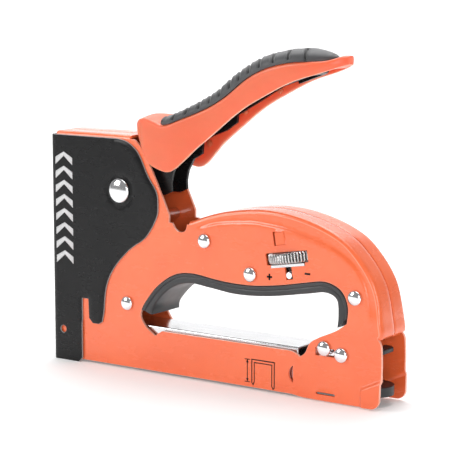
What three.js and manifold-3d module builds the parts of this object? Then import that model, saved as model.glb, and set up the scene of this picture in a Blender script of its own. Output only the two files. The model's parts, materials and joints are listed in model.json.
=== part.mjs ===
// A hand-squeezed staple gun: two pressed steel shells riveted together round a finger hole, a black nose plate,
// a squeeze lever with a padded cover, a driver blade thrown down by a leaf spring, a spring-force wheel,
// and a magazine with a rail that pulls out at the tail.
// Millimetres. x runs from the nose to the tail, y across the gun, z up from the bench. All pieces are drawn
// from the nose at x = 0 and the last group moves them so that the origin is under the middle of the gun.
import * as THREE from "three";
import { mergeVertices } from "three/addons/utils/BufferGeometryUtils.js";
import Module from "manifold-3d";

const wasm = await Module();
wasm.setup();

// Driving dimensions.
const bodyLength = 180;
const bodyHalf = 10.7; // half the width over the shells
const noseHeight = 107.8;
const archTop = 80.9; // highest point of the rear arch
const sheet = 1.2; // shell steel
const seam = 0.4; // gap between the two shells along the middle
const plateSheet = 0.9; // nose plate steel
const gap = 0.3; // between pieces that touch
const crown = 1.6; // the shells' top stands this far above the nose plate
const bendRise = 1.6; // rounding of the shells' long bends, seen from the side
const bendWidth = 2.2; // the same rounding, seen from the end
const tailFlangeFoot = 31.5; // the shells are open at the back below this height
const pivotX = 41.3;
const pivotDrop = 23.9; // lever pivot below the top of the nose plate
const pivotShank = 4;
const pivotHead = 5.75;
const leverHalf = 6.6; // half the width over the lever's plates
const leverSheet = 1.5;
const leverLength = 100.7; // from the pivot to the lever's rear end
const coverWall = 1.8;
const coverHalfFront = 13.5;
const coverHalfGrip = 10.7;
const coverNose = 46.5;
const coverTip = 157;
const rivetHead = 3.3;
const rivetShank = 2;
const spacer = 2.6; // the rivets' thick middle, which holds the shells apart
const headRise = 1.6;
const stopPin = 2.75;
const magazineTop = 22;
const magazineSheet = 1.2;
const stapleCrown = 11.3; // width over a staple
const stapleLeg = 14;
const stapleWire = 0.7;
const stripLength = 50;
const railSheet = 1;
const railFoot = 2;
const bladeSheet = 1.1;
const bladeFoot = 1; // driver blade's lower end above the bench, at rest
const leafSheet = 1.5;
const leafHalf = 6;
const wheelRadius = 14.2;
const wheelWidth = 4.6;
const wheelTilt = THREE.MathUtils.degToRad(9.3);
const screwRadius = 2.2;
const pointer = 1.45; // radius of the force pointer's ends
const pointerTravel = 2;
const tongue = 1.5; // the liner's rim reaches this far behind the shells' edge

// Places that several pieces share.
const inner = bodyHalf - sheet; // inside face of a shell
const magazineHalf = inner - 2 * gap;
const linerHalf = bodyHalf + gap;
const outside = bodyHalf + gap; // where rivet heads and the nose plate sit on the shells
const plateHalf = outside + plateSheet;
const shellNose = plateSheet + gap;
const shellTop = noseHeight + crown;
const pivot = [pivotX, noseHeight - pivotDrop];
const tail = bodyLength;
const frontRivet = [44.3, 31.4];
const upperRivet = [88.4, archTop - 16.3];
const fulcrumRivet = [113.1, archTop - 28.9];
const rearRivet = [tail - 13.3, 47.4];
const tailRivet = [tail - 19.8, 21.8];
const latchPin = [tail - 28.4, 23.7];
const stop = [pivot[0] + 16.1, pivot[1] - 11.5];
const wheel = [tail - 47.9, archTop - 19.65];
const bladeFront = shellNose + sheet + gap;
const bladeBack = bladeFront + bladeSheet;
const magazineNose = bladeBack + gap;
const magazineTail = tail - 43;
const stapleTop = bladeFoot + 1.5 + stapleLeg;
const railTop = stapleTop - stapleWire - gap - 0.1;
const railHalf = stapleCrown / 2 - stapleWire - 0.35;
const railTail = tail - 12;

// Shapes.
const shapeOf = (points) => new THREE.Shape(points.map(([a, b]) => new THREE.Vector2(a, b)));
const smooth = (points, steps) => {
  const curve = new THREE.SplineCurve(points.map(([a, b]) => new THREE.Vector2(a, b)));
  return curve.getPoints(steps).map((p) => [p.x, p.y]);
};
const arc = ([x, z], r, from, to, steps) =>
  Array.from({ length: steps + 1 }, (_, i) => {
    const a = THREE.MathUtils.degToRad(from + ((to - from) * i) / steps);
    return [x + r * Math.cos(a), z + r * Math.sin(a)];
  });

const rectangle = ([x0, x1], [z0, z1]) => [[x0, z0], [x1, z0], [x1, z1], [x0, z1]];

// A path moved sideways by a distance, to its left as it runs.
function offset(path, distance) {
  return path.map(([x, z], i) => {
    const [ax, az] = path[Math.max(i - 1, 0)];
    const [bx, bz] = path[Math.min(i + 1, path.length - 1)];
    const run = Math.hypot(bx - ax, bz - az);
    return [x - ((bz - az) / run) * distance, z + ((bx - ax) / run) * distance];
  });
}

// The height of a smooth line, drawn from left to right, at any x.
function heightOf(points) {
  const line = smooth(points, 120);
  return (x) => {
    const i = Math.max(1, line.findIndex(([px]) => px >= x));
    const j = x >= line.at(-1)[0] ? line.length - 1 : i;
    const [[x0, z0], [x1, z1]] = [line[j - 1], line[j]];
    const t = THREE.MathUtils.clamp((x - x0) / (x1 - x0), 0, 1);
    return z0 + (z1 - z0) * t;
  };
}

// Solids.
function solid(geometry) {
  const bare = geometry.clone();
  bare.deleteAttribute("normal");
  bare.deleteAttribute("uv");
  const merged = mergeVertices(bare, 1e-4);
  const triVerts = new Uint32Array(merged.index.array);
  const vertProperties = merged.attributes.position.array;
  const made = new wasm.Manifold(new wasm.Mesh({ numProp: 3, vertProperties, triVerts }));
  if (made.volume() > 0) return made;
  triVerts.reverse();
  return new wasm.Manifold(new wasm.Mesh({ numProp: 3, vertProperties, triVerts }));
}
const join = (...pieces) => pieces.reduce((whole, piece) => whole.add(piece));
const cut = (from, ...pieces) => pieces.reduce((rest, piece) => rest.subtract(piece), from);
const meet = (a, b) => a.intersect(b);

// An outline in the x-z plane, solid from y = low to y = high.
function slab(points, low, high, bevel = {}) {
  const flat = { depth: high - low, bevelEnabled: false, ...bevel };
  return solid(new THREE.ExtrudeGeometry(shapeOf(points), flat).rotateX(Math.PI / 2).translate(0, high, 0));
}
// An outline in the x-y plane, solid from z = low to z = high.
function tower(points, low, high) {
  const flat = { depth: high - low, bevelEnabled: false };
  return solid(new THREE.ExtrudeGeometry(shapeOf(points), flat).translate(0, 0, low));
}
function box([x0, x1], [y0, y1], [z0, z1]) {
  const block = new THREE.BoxGeometry(x1 - x0, y1 - y0, z1 - z0);
  return solid(block.translate((x0 + x1) / 2, (y0 + y1) / 2, (z0 + z1) / 2));
}
const across = (half) => [-half, half];
function rod([x, z], radius, low, high, sides = 20) {
  const round = new THREE.CylinderGeometry(radius, radius, high - low, sides);
  return solid(round.translate(x, (low + high) / 2, z));
}
// A profile of [radius, y] points turned about an axis across the gun.
function turned(profile, [x, z], sides = 14) {
  const points = profile.map(([r, y]) => new THREE.Vector2(r, y));
  return solid(new THREE.LatheGeometry(points, sides).translate(x, 0, z));
}
// A block whose corners run 0 to 1, with every point of its grid placed by a function.
function moulded([alongSteps, acrossSteps, upSteps], place) {
  const block = new THREE.BoxGeometry(1, 1, 1, alongSteps, acrossSteps, upSteps);
  const points = block.attributes.position;
  for (let i = 0; i < points.count; i++) {
    const at = [points.getX(i), points.getY(i), points.getZ(i)].map((value) => value + 0.5);
    points.setXYZ(i, ...place(...at));
  }
  return solid(block);
}
// Round wire along a list of 3-D points.
function wire(points, radius, steps, sides = 6) {
  const path = new THREE.CatmullRomCurve3(points.map((p) => new THREE.Vector3(...p)));
  const ring = shapeOf(arc([0, 0], radius, 0, 360 - 360 / sides, sides - 1));
  return solid(new THREE.ExtrudeGeometry(ring, { steps, extrudePath: path, bevelEnabled: false }));
}

const materials = {
  orange: new THREE.MeshStandardMaterial({ color: 0xff7a50, roughness: 0.35, metalness: 0.1 }),
  plastic: new THREE.MeshStandardMaterial({ color: 0xff8258, roughness: 0.45, metalness: 0 }),
  black: new THREE.MeshStandardMaterial({ color: 0x262628, roughness: 0.5, metalness: 0.2 }),
  grey: new THREE.MeshStandardMaterial({ color: 0x4b4c4e, roughness: 0.6, metalness: 0 }),
  steel: new THREE.MeshStandardMaterial({ color: 0xc9cbce, roughness: 0.25, metalness: 1 }),
  spring: new THREE.MeshStandardMaterial({ color: 0x7d8086, roughness: 0.35, metalness: 1 }),
};
const gun = new THREE.Group();
gun.position.x = -bodyLength / 2;
function piece(name, made, material) {
  const { numProp, numVert, vertProperties, triVerts } = made.getMesh();
  const points = new Float32Array(numVert * 3);
  for (let i = 0; i < numVert; i++) points.set(vertProperties.subarray(i * numProp, i * numProp + 3), i * 3);
  const geometry = new THREE.BufferGeometry();
  geometry.setAttribute("position", new THREE.BufferAttribute(points, 3));
  geometry.setIndex(new THREE.BufferAttribute(new Uint32Array(triVerts), 1));
  geometry.computeVertexNormals();
  const mesh = new THREE.Mesh(geometry, materials[material]);
  mesh.name = name;
  gun.add(mesh);
}

// A point given in the wheel's tilted frame: along the window, then up its axle.
const tilted = (a, b) => [
  wheel[0] + a * Math.cos(wheelTilt) - b * Math.sin(wheelTilt),
  wheel[1] + a * Math.sin(wheelTilt) + b * Math.cos(wheelTilt),
];
const tiltedBox = ([a0, a1], [b0, b1]) => [tilted(a0, b0), tilted(a1, b0), tilted(a1, b1), tilted(a0, b1)];
// A solid drawn upright at the origin, set on the wheel's tilted axle.
const onAxle = (geometry) => solid(geometry.rotateY(-wheelTilt).translate(wheel[0], 0, wheel[1]));

const upright = (radius, low, high, sides = 20) =>
  onAxle(new THREE.CylinderGeometry(radius, radius, high - low, sides).rotateX(Math.PI / 2)
    .translate(0, 0, (low + high) / 2));

// The shells: one bevelled outline, hollowed, with its openings cut, then split along the seam.
const arch = smooth(
  [
    [80.3, archTop - 8.1],
    [96.8, archTop - 2.9],
    [118, archTop],
    [tail - 43.5, archTop - 1.5],
    [tail - 26, archTop - 6.7],
    [tail - 14.5, archTop - 14.2],
    [tail - 4.1, archTop - 28.5],
    [tail, archTop - 47.4],
  ],
  28,
);
const slotFoot = archTop - 13.5;
const slotEdge = [
  ...smooth(
    [
      [pivot[0] + 3.7, shellTop + 0.1],
      [pivot[0] + 10.5, pivot[1] + 21.6],
      [pivot[0] + 16.2, pivot[1] + 12.9],
      [pivot[0] + 23.3, pivot[1] - 1.2],
      [pivot[0] + 27, slotFoot + 7.6],
      [71.7, slotFoot + 1.5],
      [74.8, slotFoot],
      [77.8, slotFoot + 1],
      [78.7, slotFoot + 4],
    ],
    22,
  ),
  arch[0],
];
const holeLeft = 51.9;
const holeArch = [
  [holeLeft + 3, 21.3],
  [holeLeft + 0.7, 24.4],
  [holeLeft, 27.7],
  [holeLeft + 3.1, 33.5],
  [holeLeft + 10.4, 41.8],
  [holeLeft + 20.1, 47.8],
  [holeLeft + 30.1, 49.2],
  [holeLeft + 41.5, 47.9],
  [104, 47.1],
  [tail - 64.2, 47.3],
  [tail - 50.8, 49],
  [tail - 37.7, 51.5],
  [tail - 28, 52.8],
  [tail - 20.3, 49.8],
  [tail - 16.9, 43.3],
  [tail - 17.3, 35.8],
];
const holeEdge = smooth(holeArch, 44);
const holeSill = magazineTop - 1.5;
const fingerHole = [
  ...holeEdge,
  [tail - 22.4, 32.2],
  [tail - 31.2, 28.1],
  [tail - 35.8, 25.1],
  [tail - 38.3, 20.4],
  [tail - 40.9, holeSill - 2.1],
  [tail - 43.4, holeSill - 0.6],
  [tail - 46, holeSill],
  [holeLeft + 12.3, holeSill],
  [holeLeft + 9.5, holeSill - 1.7],
  [holeLeft + 8.2, holeSill - 2.7],
];
const tailEdge = [
  [tail - 2.4, tailFlangeFoot],
  [tail, tailFlangeFoot - 2.7],
  ...arc([tail - 5.3, 5.9], 5.3, 0, -90, 4),
];
const belowAll = -20;
const bevel = { bevelEnabled: true, bevelThickness: bendWidth, bevelSize: bendRise, bevelOffset: -bendRise };
const bodyOutline = [
  [shellNose, belowAll],
  [shellNose, shellTop],
  [70, shellTop],
  [70, archTop - 8.1],
  ...arch,
  [tail, belowAll],
];
const bodyBlock = slab(bodyOutline, -bodyHalf + bendWidth, bodyHalf - bendWidth, { ...bevel, bevelSegments: 3 });

const sideOutline = [
  [0, bladeFoot + gap],
  [0, shellTop + 5],
  slotEdge[0],
  ...slotEdge,
  ...arch.slice(1),
  ...tailEdge,
  [tail - 39, tailEdge.at(-1)[1]],
  [tail - 46, bladeFoot + gap],
];
const hollow = slab(
  [
    [shellNose + sheet, belowAll],
    [shellNose + sheet, shellTop - sheet],
    [81, shellTop - sheet],
    ...offset(arch, -sheet).slice(1),
    [tail - sheet, tailFlangeFoot],
    [tail + 20, tailFlangeFoot],
    [tail + 20, belowAll],
  ],
  -inner,
  inner,
);
const through = [-30, 30];
const rivets = { front: frontRivet, upper: upperRivet, fulcrum: fulcrumRivet, rear: rearRivet, tail: tailRivet };
const shellHoles = [
  ...Object.values(rivets).map((at) => rod(at, rivetShank + gap, ...through)),
  rod(latchPin, rivetShank + gap, ...through),
  rod(stop, rivetShank + gap, ...through),
  rod(pivot, pivotShank + gap, ...through),
];
const louver = [-5.1, -4.3]; // slit beside the lanced tongue over the wheel
const latchFoot = 20.7;
const latchWindow = [latchPin[0] - 4.6, latchPin[0] + 5.1];
const sightRadius = 4.4; // half-round hole that shows the staples
const windowHalf = Math.sqrt(wheelRadius ** 2 - inner ** 2) + gap; // the wheel's chord at the shell's inside
const lipDrop = wheelWidth / 2 + 0.5;
const lipHalf = windowHalf - 2.15;
const slotTop = -lipDrop - sheet;
const slotLow = slotTop - 2 * pointer - pointerTravel - 2 * gap;
const windows = [
  tiltedBox([-windowHalf, windowHalf], [-wheelWidth / 2 - gap, wheelWidth / 2 + gap]),
  tiltedBox([-lipHalf - gap, lipHalf + gap], [slotTop, 0]),
  tiltedBox([-pointer - gap, pointer + gap], [slotLow, 0]),
  tiltedBox(louver, [5.6, 11.8]),
  rectangle(latchWindow, [latchFoot - 0.4, latchPin[1] + 0.1]),
  arc([tail - 42.3, 10.2], sightRadius, 118, 242, 8),
  rectangle([tail - 32.6, tail - 23], [3.1, 4.1]),
].map((outline) => slab(outline, ...through));
const body = cut(
  meet(bodyBlock, slab(sideOutline, ...through)),
  hollow,
  slab(fingerHole, ...through),
  ...windows,
  ...shellHoles,
);
const side = (low, high) => box([-50, tail + 50], [low, high], [belowAll, shellTop + 20]);
piece("left_shell", meet(body, side(-40, -seam / 2)), "orange");
piece("right_shell", meet(body, side(seam / 2, 40)), "orange");

// The nose plate: a U in plan, cut to its side outline.
const plateRound = 2.2;
const plateSlot = [17.7, 21.4];
const plateSlotTop = 31;
const plateSide = [
  [0, 0],
  [0, noseHeight],
  ...smooth(
    [
      [39.7, noseHeight],
      [44.2, noseHeight - 0.8],
      [48.2, noseHeight - 2.8],
      [pivot[0] + 10.9, pivot[1] + 17.2],
      [pivot[0] + 16, pivot[1] + 7.6],
      [pivot[0] + 20.6, pivot[1] + 1],
      [pivot[0] + 21.5, pivot[1] - 5],
      [pivot[0] + 20.5, pivot[1] - 11.4],
      [pivot[0] + 14.2, pivot[1] - 20.8],
      [pivot[0] + 5.3, pivot[1] - 26.9],
      [37.4, 47.7],
      [32.4, 38.1],
      [30.7, 25.8],
      [29.6, 20.8],
    ],
    36,
  ),
  [27.6, 19.6],
  [24, 19.6],
  [plateSlot[1] + 0.4, 21.8],
  [plateSlot[1], plateSlotTop],
  [plateSlot[0], plateSlotTop],
  [plateSlot[0], 2.2],
  [plateSlot[0] - 2.1, 0],
];
const plateReach = 70;
const plateCorner = [plateRound, plateHalf - plateRound];
const innerRound = plateRound - plateSheet;
const platePlan = [
  [plateReach, plateHalf],
  ...arc(plateCorner, plateRound, 90, 180, 4),
  ...arc([plateCorner[0], -plateCorner[1]], plateRound, 180, 270, 4),
  [plateReach, -plateHalf],
  [plateReach, -outside],
  ...arc([plateCorner[0], -plateCorner[1]], innerRound, 270, 180, 3),
  ...arc(plateCorner, innerRound, 180, 90, 3),
  [plateReach, outside],
];
const plateHole = [6.3, 14.9];
piece(
  "nose_plate",
  cut(
    meet(tower(platePlan, -1, noseHeight + 1), slab(plateSide, ...through)),
    rod(pivot, pivotShank + gap, ...through),
    rod(plateHole, 1.75, plateHalf - 3, 30),
    rod(plateHole, 1.75, -30, 3 - plateHalf),
  ),
  "black",
);

// Rivets: domed heads outside, a thick middle between the shells.
function rivetProfile(shank, middle, head, rise, seat) {
  const dome = arc([0, 0], 1, 90, 20, 3).map(([a, b]) => [a * head, seat + rise * b]);
  const half = [...dome, [head, seat], [shank, seat], [shank, inner - gap], [middle, inner - gap]];
  half[0][0] = 0;
  return [...half, ...half.map(([r, y]) => [r, -y]).reverse()];
}
const rivet = (at, middle = spacer) => turned(rivetProfile(rivetShank, middle, rivetHead, headRise, outside), at);
for (const [name, at] of Object.entries(rivets)) piece(`${name}_rivet`, rivet(at), "steel");
piece("latch_pin", rivet(latchPin, rivetShank), "steel");
piece("lever_stop_pin", turned(rivetProfile(rivetShank, stopPin, rivetShank, 0.01, bodyHalf), stop), "steel");
const pivotProfile = rivetProfile(pivotShank, pivotShank, pivotHead, 2.2, plateHalf + gap);
piece("lever_pivot_rivet", turned(pivotProfile, pivot, 24), "steel");

// The grip liner: a C of plastic that lines the finger hole, held by a rim behind the shells.
const linerInside = smooth(
  [
    [holeLeft + 6.7, 27.6],
    [holeLeft + 7.8, 31.9],
    [holeLeft + 16.5, 40.4],
    [holeLeft + 27.1, 44.4],
    [holeLeft + 39, 43.6],
    [105.5, 42.2],
    [tail - 57.4, 43.2],
    [tail - 37.6, 46.5],
    [tail - 28.3, 48],
    [tail - 22.6, 45.6],
    [tail - 21.7, 39.2],
    [tail - 22.2, 33.4],
  ],
  34,
).reverse();
const linerArch = holeEdge.slice(7, -1);
const linerBand = slab([...offset(linerArch, -gap), ...linerInside], -linerHalf, linerHalf);
const rimHalf = inner - gap;
const rimBlock = slab([...offset(linerArch, tongue), ...linerInside], -rimHalf, rimHalf);
const rimClear = slab([...offset(linerArch, tongue + 2), ...offset(linerArch, -gap).reverse()], -7, 7);
piece("grip_liner", join(linerBand, cut(rimBlock, rimClear)), "grey");

// The magazine: a fixed channel, the staples, and the rail that pulls out at the tail.
piece(
  "magazine_channel",
  cut(
    box([magazineNose, magazineTail], across(magazineHalf), [railFoot, magazineTop]),
    box([0, tail], across(magazineHalf - magazineSheet), [0, magazineTop - magazineSheet]),
  ),
  "steel",
);
const strip = [magazineNose + 0.2, magazineNose + 0.2 + stripLength];
piece(
  "staple_strip",
  cut(
    box(strip, across(stapleCrown / 2), [stapleTop - stapleLeg, stapleTop]),
    box([0, tail], across(stapleCrown / 2 - stapleWire), [0, stapleTop - stapleWire]),
  ),
  "steel",
);
const pusherLength = 10;
const pusherTravel = 60;
const pusher = [strip[1] + gap, strip[1] + gap + pusherLength];
const webHalf = 1.2;
const railSlot = [pusher[0] - 12, pusher[1] + pusherTravel + 4];
piece(
  "magazine_rail",
  cut(
    box([magazineNose + 0.8, railTail], across(railHalf), [railFoot, railTop]),
    box([0, tail], across(railHalf - railSheet), [0, railTop - railSheet]),
    box(railSlot, across(webHalf + gap), [0, tail]),
  ),
  "steel",
);
const rodHeight = (railFoot + railTop) / 2;
const guideRod = 1.1;
const carriageHalf = railHalf - railSheet - gap - 0.2;
const alongRod = (radius, x0, x1) =>
  solid(new THREE.CylinderGeometry(radius, radius, x1 - x0, 12).rotateZ(Math.PI / 2)
    .translate((x0 + x1) / 2, 0, rodHeight));
piece(
  "pusher",
  cut(
    join(
      cut(
        box(pusher, across(stapleCrown / 2), [railFoot + 1, stapleTop + 0.2]),
        box([0, tail], across(railHalf + gap), [0, railTop + gap]),
      ),
      box(pusher, across(webHalf), [rodHeight, stapleTop]),
      box(pusher, across(carriageHalf), [rodHeight - 2.5, rodHeight + 2.5]),
    ),
    alongRod(guideRod + gap, 0, tail),
  ),
  "black",
);
const capBlock = [railTail - 5, railTail - gap];
piece("guide_rod", alongRod(guideRod, magazineNose + 3, capBlock[0] - gap), "steel");
const springStart = pusher[1] + 1;
const springEnd = capBlock[0] - 1;
const pusherTurns = 11;
const helix = (turns, perTurn, place) =>
  Array.from({ length: turns * perTurn + 1 }, (_, i) => place((2 * Math.PI * i) / perTurn, i / (turns * perTurn)));
piece(
  "pusher_spring",
  wire(
    helix(pusherTurns, 8, (a, t) => [
      springStart + (springEnd - springStart) * t,
      2.1 * Math.cos(a),
      rodHeight + 2.1 * Math.sin(a),
    ]),
    0.35,
    pusherTurns * 8,
    5,
  ),
  "spring",
);
// The rail's end plug, with the half-round tab that a finger pulls.
const tabHalf = inner - 1;
const tabPlan = [[railTail, -tabHalf], ...arc([tail - 9.5, 0], tabHalf, -90, 90, 14), [railTail, tabHalf]];
piece(
  "rail_pull_tab",
  join(
    tower(tabPlan, 4.4, 8.6),
    box([capBlock[0], railTail + 1], across(railHalf - railSheet - gap), [4.4, railTop - railSheet - gap]),
    box([railTail + gap, railTail + 3.5], across(railHalf), [4.4, railTop]),
  ),
  "black",
);

// The magazine latch: a rocker on its pin, seen through the shells' window, with a tab at the back.
const cheek = [inner - gap - 1.6, inner - gap];
const rocker = [
  [latchPin[0] - 5, latchFoot],
  [latchPin[0] + 4.6, latchFoot],
  [latchPin[0] + 4.6, 26.6],
  [latchPin[0] + 2.5, 28],
  [latchPin[0] - 1, 28],
  [latchPin[0] - 5, 25],
];
const armHalf = cheek[0] - 4.6;
const rockerArm = [
  [tail - 42, stapleTop + 0.5],
  [tail - 39.8, stapleTop + 0.5],
  [tail - 38.6, latchFoot],
  [latchPin[0] + 4.6, latchFoot],
  [latchPin[0] + 5.2, 26.1],
  [latchPin[0] + 13.5, 26.1],
  [tail - 8.6, 23.2],
  [tail - 8.6, 24.8],
  [latchPin[0] + 14, 27.9],
  [latchPin[0] - 1, 28],
  [latchPin[0] - 5, 24.6],
  [tail - 42, 20.8],
];
piece(
  "magazine_latch",
  cut(
    join(
      slab(rocker, cheek[0], cheek[1]),
      slab(rocker, -cheek[1], -cheek[0]),
      slab(rockerArm, -armHalf, armHalf),
      box([latchPin[0] - 6.2, latchPin[0] - 4.6], across(cheek[1]), [latchFoot, 24]),
    ),
    rod(latchPin, rivetShank + gap, ...through),
  ),
  "steel",
);
const latchTab = [tail - 8.2, tail - 2.6];
piece(
  "latch_tab",
  tower([[latchTab[0], -6], [latchTab[1] - 2, -6], [latchTab[1], -4], [latchTab[1], 4], [latchTab[1] - 2, 6],
    [latchTab[0], 6]], 22.9, 25),
  "black",
);
piece(
  "latch_spring",
  wire(
    helix(3, 8, (a, t) => [latchPin[0] + 3 * Math.cos(a), armHalf + 1 + 2.6 * t, latchPin[1] + 3 * Math.sin(a)]),
    0.4,
    27,
    5,
  ),
  "spring",
);

// The driver blade, with a window for the leaf spring and one for the lifting claw.
const leafNose = upperRivet[1] - 4.6;
const clawRound = 1;
const clawTip = [pivot[0] - 36.5, pivot[1] - 6.3];
const bladeTop = clawTip[1] + 10;
piece(
  "driver_blade",
  cut(
    box([bladeFront, bladeBack], across(stapleCrown / 2), [bladeFoot, bladeTop]),
    box([0, 9], across(4), [leafNose - 1.4, leafNose + 1.4]),
    box([0, 9], across(3.3), [clawTip[1] - 1.6, clawTip[1] + 1.6]),
  ),
  "steel",
);
const guide = [magazineNose + 0.2, 14];
const guideFoot = magazineTop + gap;
const bumperTop = leafNose - leafSheet / 2 - gap - 0.3;
const guideTop = bumperTop - 7;
piece(
  "driver_guide",
  cut(
    box([bladeFront, guide[1]], across(inner - gap), [guideFoot, guideTop]),
    box([0, magazineNose], across(stapleCrown / 2 + gap), [0, noseHeight]),
  ),
  "black",
);
piece("driver_bumper", box([guide[0] + 1.5, guide[1] + 3], across(inner - gap), [guideTop + gap, bumperTop]), "grey");

// The power spring: one steel leaf, under the upper rivet, over the fulcrum rivet and under the force slider.
const slotMiddle = tilted(0, slotLow + gap + pointer);
const sliderNose = slotLow + gap + pointer - 1.5;
const leafEnd = tilted(0.2, sliderNose - gap - 0.1);
const leafLine = heightOf([
  [bladeFront + 0.2, leafNose],
  [25, leafNose + 1.4],
  [60, leafNose + 1.8],
  [upperRivet[0], upperRivet[1] - spacer - gap - leafSheet / 2 - 0.1],
  [fulcrumRivet[0], fulcrumRivet[1] + spacer + gap + leafSheet / 2 + 0.1],
  [leafEnd[0], leafEnd[1] - leafSheet / 2 - gap],
  [leafEnd[0] + 3.8, leafEnd[1] - leafSheet / 2 - gap + 0.6],
]);
const leafStart = bladeFront + 0.2;
const leafStop = leafEnd[0] + 3.8;
const leafBlank = moulded([44, 2, 1], (u, v, w) => {
  const x = leafStart + (leafStop - leafStart) * u;
  const half = x < bladeBack + 3 ? 3.5 : leafHalf;
  return [x, half * (2 * v - 1), leafLine(x) + leafSheet * (w - 0.5)];
});
piece("power_spring", cut(leafBlank, upright(screwRadius + 2 * gap, sliderNose - 5, 0)), "spring");

// The lever: a steel channel that pivots in the nose and runs on under the grip.
const rim = heightOf([
  [coverNose, 112.4],
  [48.5, 115.4],
  [52, 117.4],
  [57, 118],
  [61.5, 116.8],
  [67.6, 115.6],
  [78, 119.3],
  [85.5, 122.4],
  [92.5, 125.7],
  [99.3, 129.7],
  [109.1, 137],
  [116.1, 140.9],
  [122.9, 143.4],
  [132, 145.4],
  [141, 146],
  [147.5, 146.4],
  [151.5, 147.3],
  [154.5, 148.4],
  [coverTip, 148.6],
].map(([x, z]) => [x, z + pivot[1] - 83.9]));
const skirt = heightOf([
  [coverNose, 111.2],
  [50, 110.6],
  [53, 107.6],
  [55, 103.2],
  [57.5, 99],
  [60.5, 96.6],
  [66.5, 94.6],
  [70, 94.5],
  [73.5, 96.2],
  [78.5, 100.6],
  [84, 105.8],
  [90.5, 110.9],
  [106.5, 123.1],
  [119, 130.2],
  [133, 136.9],
  [146, 141],
  [coverTip, 144.8],
].map(([x, z]) => [x, z + pivot[1] - 83.9]));
const top = heightOf([
  [coverNose, 113],
  [48.7, 116.9],
  [53.5, 119.2],
  [60, 118.7],
  [66.9, 119.9],
  [79.8, 125.6],
  [92, 132.5],
  [100.7, 139.4],
  [113.9, 146.9],
  [127.8, 150.5],
  [138, 151.2],
  [145, 150.3],
  [150.5, 148.9],
  [coverTip, 148.7],
].map(([x, z]) => [x, z + pivot[1] - 83.9]));
const ease = (x, from, to) => THREE.MathUtils.smoothstep(x, from, to);
// Half the cover's width: round at both ends, wide over the body and narrower at the grip.
function coverHalf(x) {
  const front = Math.sqrt(Math.max(0, 1 - (Math.max(0, 58 - x) / 11.6) ** 2));
  const back = Math.sqrt(Math.max(0, 1 - (Math.max(0, x - 135) / 22.5) ** 2));
  return (coverHalfFront + (coverHalfGrip - coverHalfFront) * ease(x, 70, 90)) * front * back;
}
const leverEnd = pivot[0] + leverLength;
const ceiling = (x) => rim(x) - coverWall - gap - 0.6;
const stations = (from, to, count) => Array.from({ length: count + 1 }, (_, i) => from + ((to - from) * i) / count);
const leverTop = stations(57, leverEnd, 22).map((x) => [x, ceiling(x)]);
const fromPivot = ([x, z]) => [pivot[0] + x, pivot[1] + z];
const clawAxle = fromPivot([-16.3, -2.4]);
const clawPin = 1.8;
const leverFront = [
  [-22.3, -8.4],
  [-22.3, -2],
  [-15, 4],
  [-6, 8.2],
  [2, 9.4],
  [8, 13],
  [12, 20],
  [14.2, 27],
].map(fromPivot);
const leverUnder = [
  [86.5, 51.5],
  [86, 52.7],
  [78.2, 50],
  [65.1, 42.3],
  [54, 36.2],
  [53.6, 32.8],
  [48.2, 29.1],
  [35, 23.8],
  [34.3, 17.5],
  [29.6, 14.9],
  [26.5, 9.5],
  [25.4, 4.8],
  [25.6, 0.8],
  [22, -0.9],
  [11, -0.9],
  [7.6, -4.6],
  [3.5, -8.2],
  [-3, -8.8],
].map(fromPivot);
const leverTail = [
  [leverEnd, pivot[1] + 57],
  [leverEnd - 1, pivot[1] + 56.2],
];
piece(
  "lever",
  cut(
    slab([...leverFront, ...leverTop, ...leverTail, ...leverUnder], -leverHalf, leverHalf),
    slab(
      [
        [0, 0],
        [0, pivot[1] + 60],
        [54, pivot[1] + 60],
        ...leverTop.slice(0, -1).map(([x, z]) => [x, z - leverSheet]),
        [leverEnd - leverSheet, ceiling(leverEnd) - leverSheet],
        [leverEnd - leverSheet, 0],
      ],
      -(leverHalf - leverSheet),
      leverHalf - leverSheet,
    ),
    rod(pivot, pivotShank + gap, ...through),
    rod(clawAxle, clawPin + gap, ...through),
  ),
  "black",
);
const bushHalf = leverHalf - leverSheet - gap;
piece("pivot_bushing", cut(rod(pivot, 5.2, -bushHalf, bushHalf), rod(pivot, pivotShank + gap, ...through)), "steel");
piece(
  "lifting_claw",
  cut(
    slab(
      [
        ...arc(clawTip, clawRound, 120, 260, 6),
        ...[[-26, -9], [-14, -8.4], [-8.6, -6], [-8.6, 1], [-11.5, 3], [-19, 0.6]].map(fromPivot),
      ],
      -2.8,
      2.8,
    ),
    rod(clawAxle, clawPin + gap, ...through),
  ),
  "steel",
);
piece("claw_pin", rod(clawAxle, clawPin, -leverHalf, leverHalf), "steel");
const coil = 6.5;
piece(
  "lever_return_spring",
  wire(
    [
      [pivot[0] + 15, 3.4, pivot[1] - 7.6],
      [pivot[0] + 8, 3.4, pivot[1] - 7],
      ...helix(3, 8, (a, t) => [
        pivot[0] + coil * Math.sin(a),
        3.4 - 6.8 * t,
        pivot[1] - coil * Math.cos(a),
      ]),
      [pivot[0] + 9, -3.4, pivot[1] - 4.4],
      [pivot[0] + 13, -3.4, pivot[1] + 6],
      [pivot[0] + 15.5, -3.4, pivot[1] + 22],
    ],
    0.6,
    48,
    6,
  ),
  "spring",
);

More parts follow.
